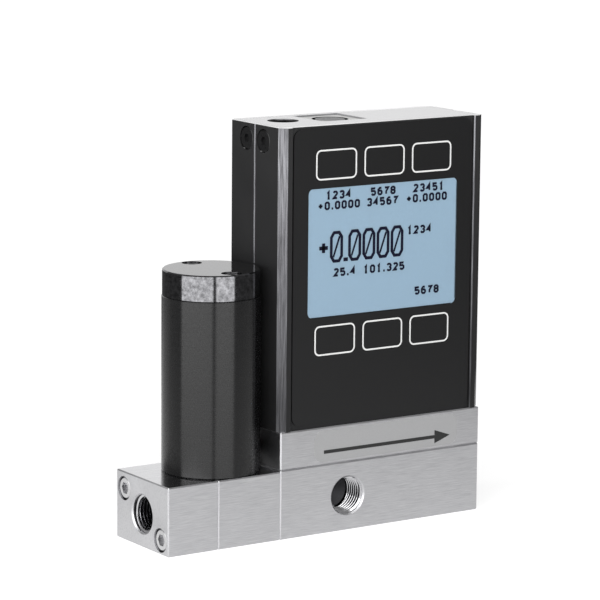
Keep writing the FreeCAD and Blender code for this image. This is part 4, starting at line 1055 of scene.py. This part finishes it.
# The power socket in the panel is moulded in black nylon, so dull that it swallows light. The data
# socket is a pale moulding with a grey core of contact holes. The black ring round the core is painted
# shade of the gap between them.
socket_black = moulded("moulded_socket_black", "#070707", "#0c0c0c", 0.8, 0.2 * MM, specular=0.04)
dress(socket_black, "power_jack")
DIN_OPENING_R = 4.65 * MM
DIN_CORE_R = 3.8 * MM
TONE_EDGE = 0.05 * MM
socket_two_tone = moulded("moulded_socket_two_tone", "#0c0c0c", "#161616", 0.6, 0.3 * MM, specular=0.15)
din_low, din_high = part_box("din_socket")
din_x = (din_low[0] + din_high[0]) / 2
din_y = (din_low[1] + din_high[1]) / 2
coords = node(socket_two_tone, "ShaderNodeTexCoord")
from_middle = node(
    socket_two_tone,
    "ShaderNodeVectorMath",
    {"operation": "SUBTRACT", 1: (din_x, din_y, 0)},
    {0: coords.outputs["Object"]},
)
flat = node(
    socket_two_tone,
    "ShaderNodeVectorMath",
    {"operation": "MULTIPLY", 1: (1, 1, 0)},
    {0: from_middle.outputs[0]},
)
reach = node(socket_two_tone, "ShaderNodeVectorMath", {"operation": "LENGTH"}, {0: flat.outputs[0]})
outside = node(
    socket_two_tone,
    "ShaderNodeMapRange",
    {"From Min": DIN_OPENING_R, "From Max": DIN_OPENING_R + TONE_EDGE},
    {"Value": reach.outputs["Value"]},
)
# The black between the core and the opening is painted shade of the gap.
socket_face = socket_two_tone.node_tree.nodes["Principled BSDF"]
painted_gap_shade = socket_face.inputs["Base Color"].links[0].from_socket
on_core = node(
    socket_two_tone,
    "ShaderNodeMapRange",
    {"From Min": DIN_CORE_R, "From Max": DIN_CORE_R + TONE_EDGE, "To Min": 1.0, "To Max": 0.0},
    {"Value": reach.outputs["Value"]},
)
core_tone = node(
    socket_two_tone,
    "ShaderNodeMix",
    {"data_type": "RGBA", 7: linear("#9c9c9d")},
    {0: on_core.outputs[0], 6: painted_gap_shade},
)
two_tone = node(
    socket_two_tone,
    "ShaderNodeMix",
    {"data_type": "RGBA", 7: linear("#e4e4e3")},
    {0: outside.outputs[0], 6: core_tone.outputs[2]},
)
socket_two_tone.node_tree.links.new(two_tone.outputs[2], socket_face.inputs["Base Color"])
dress(socket_two_tone, "din_socket")

# What is shut inside is never seen, but has its own finish: turned stainless in the valve, rubber
# seals, enamelled copper on a nylon bobbin, epoxy boards with their frame, film and leads.
turned_stainless = brushed("turned_stainless", "#cfcfd0", "#a9a9ab", 0.28)
fluoro_rubber = moulded("moulded_fluoroelastomer", "#141414", "#1b1b1b", 0.6, 0.3 * MM)
enamelled_copper = moulded("enamelled_copper_wire", "#8a4a22", "#b06a34", 0.3, 0.4 * MM)
filled_nylon = moulded("glass_filled_nylon", "#2c2c2c", "#383838", 0.55, 0.3 * MM)
epoxy_board = moulded("glass_epoxy_board", "#12502a", "#1a6033", 0.45, 0.5 * MM)
white_frame = moulded("moulded_white_frame", "#c2c2bd", "#cccbc6", 0.5, 0.3 * MM)
amber_film = moulded("amber_circuit_film", "#a8874a", "#b99657", 0.4, 0.4 * MM)
red_jacket = moulded("soft_lead_jacket", "#6e1516", "#7d1c1c", 0.5, 0.3 * MM)
turned_brass = brushed("turned_brass", "#cfae62", "#b3924c", 0.3)
by_slot = {
    "steel_part": turned_stainless,
    "seal_rubber": fluoro_rubber,
    "copper_coil": enamelled_copper,
    "bobbin_plastic": filled_nylon,
    "board_green": epoxy_board,
    "frame_plastic": white_frame,
    "circuit_film": amber_film,
    "lead_jacket": red_jacket,
    "brass_part": turned_brass,
    "steel_screw": stainless_screw,
    "black_screw": blackened_steel,
}
for part in frame["record"]["subparts"]:
    if part["material_slot"] in by_slot:
        dress(by_slot[part["material_slot"]], part["node"])
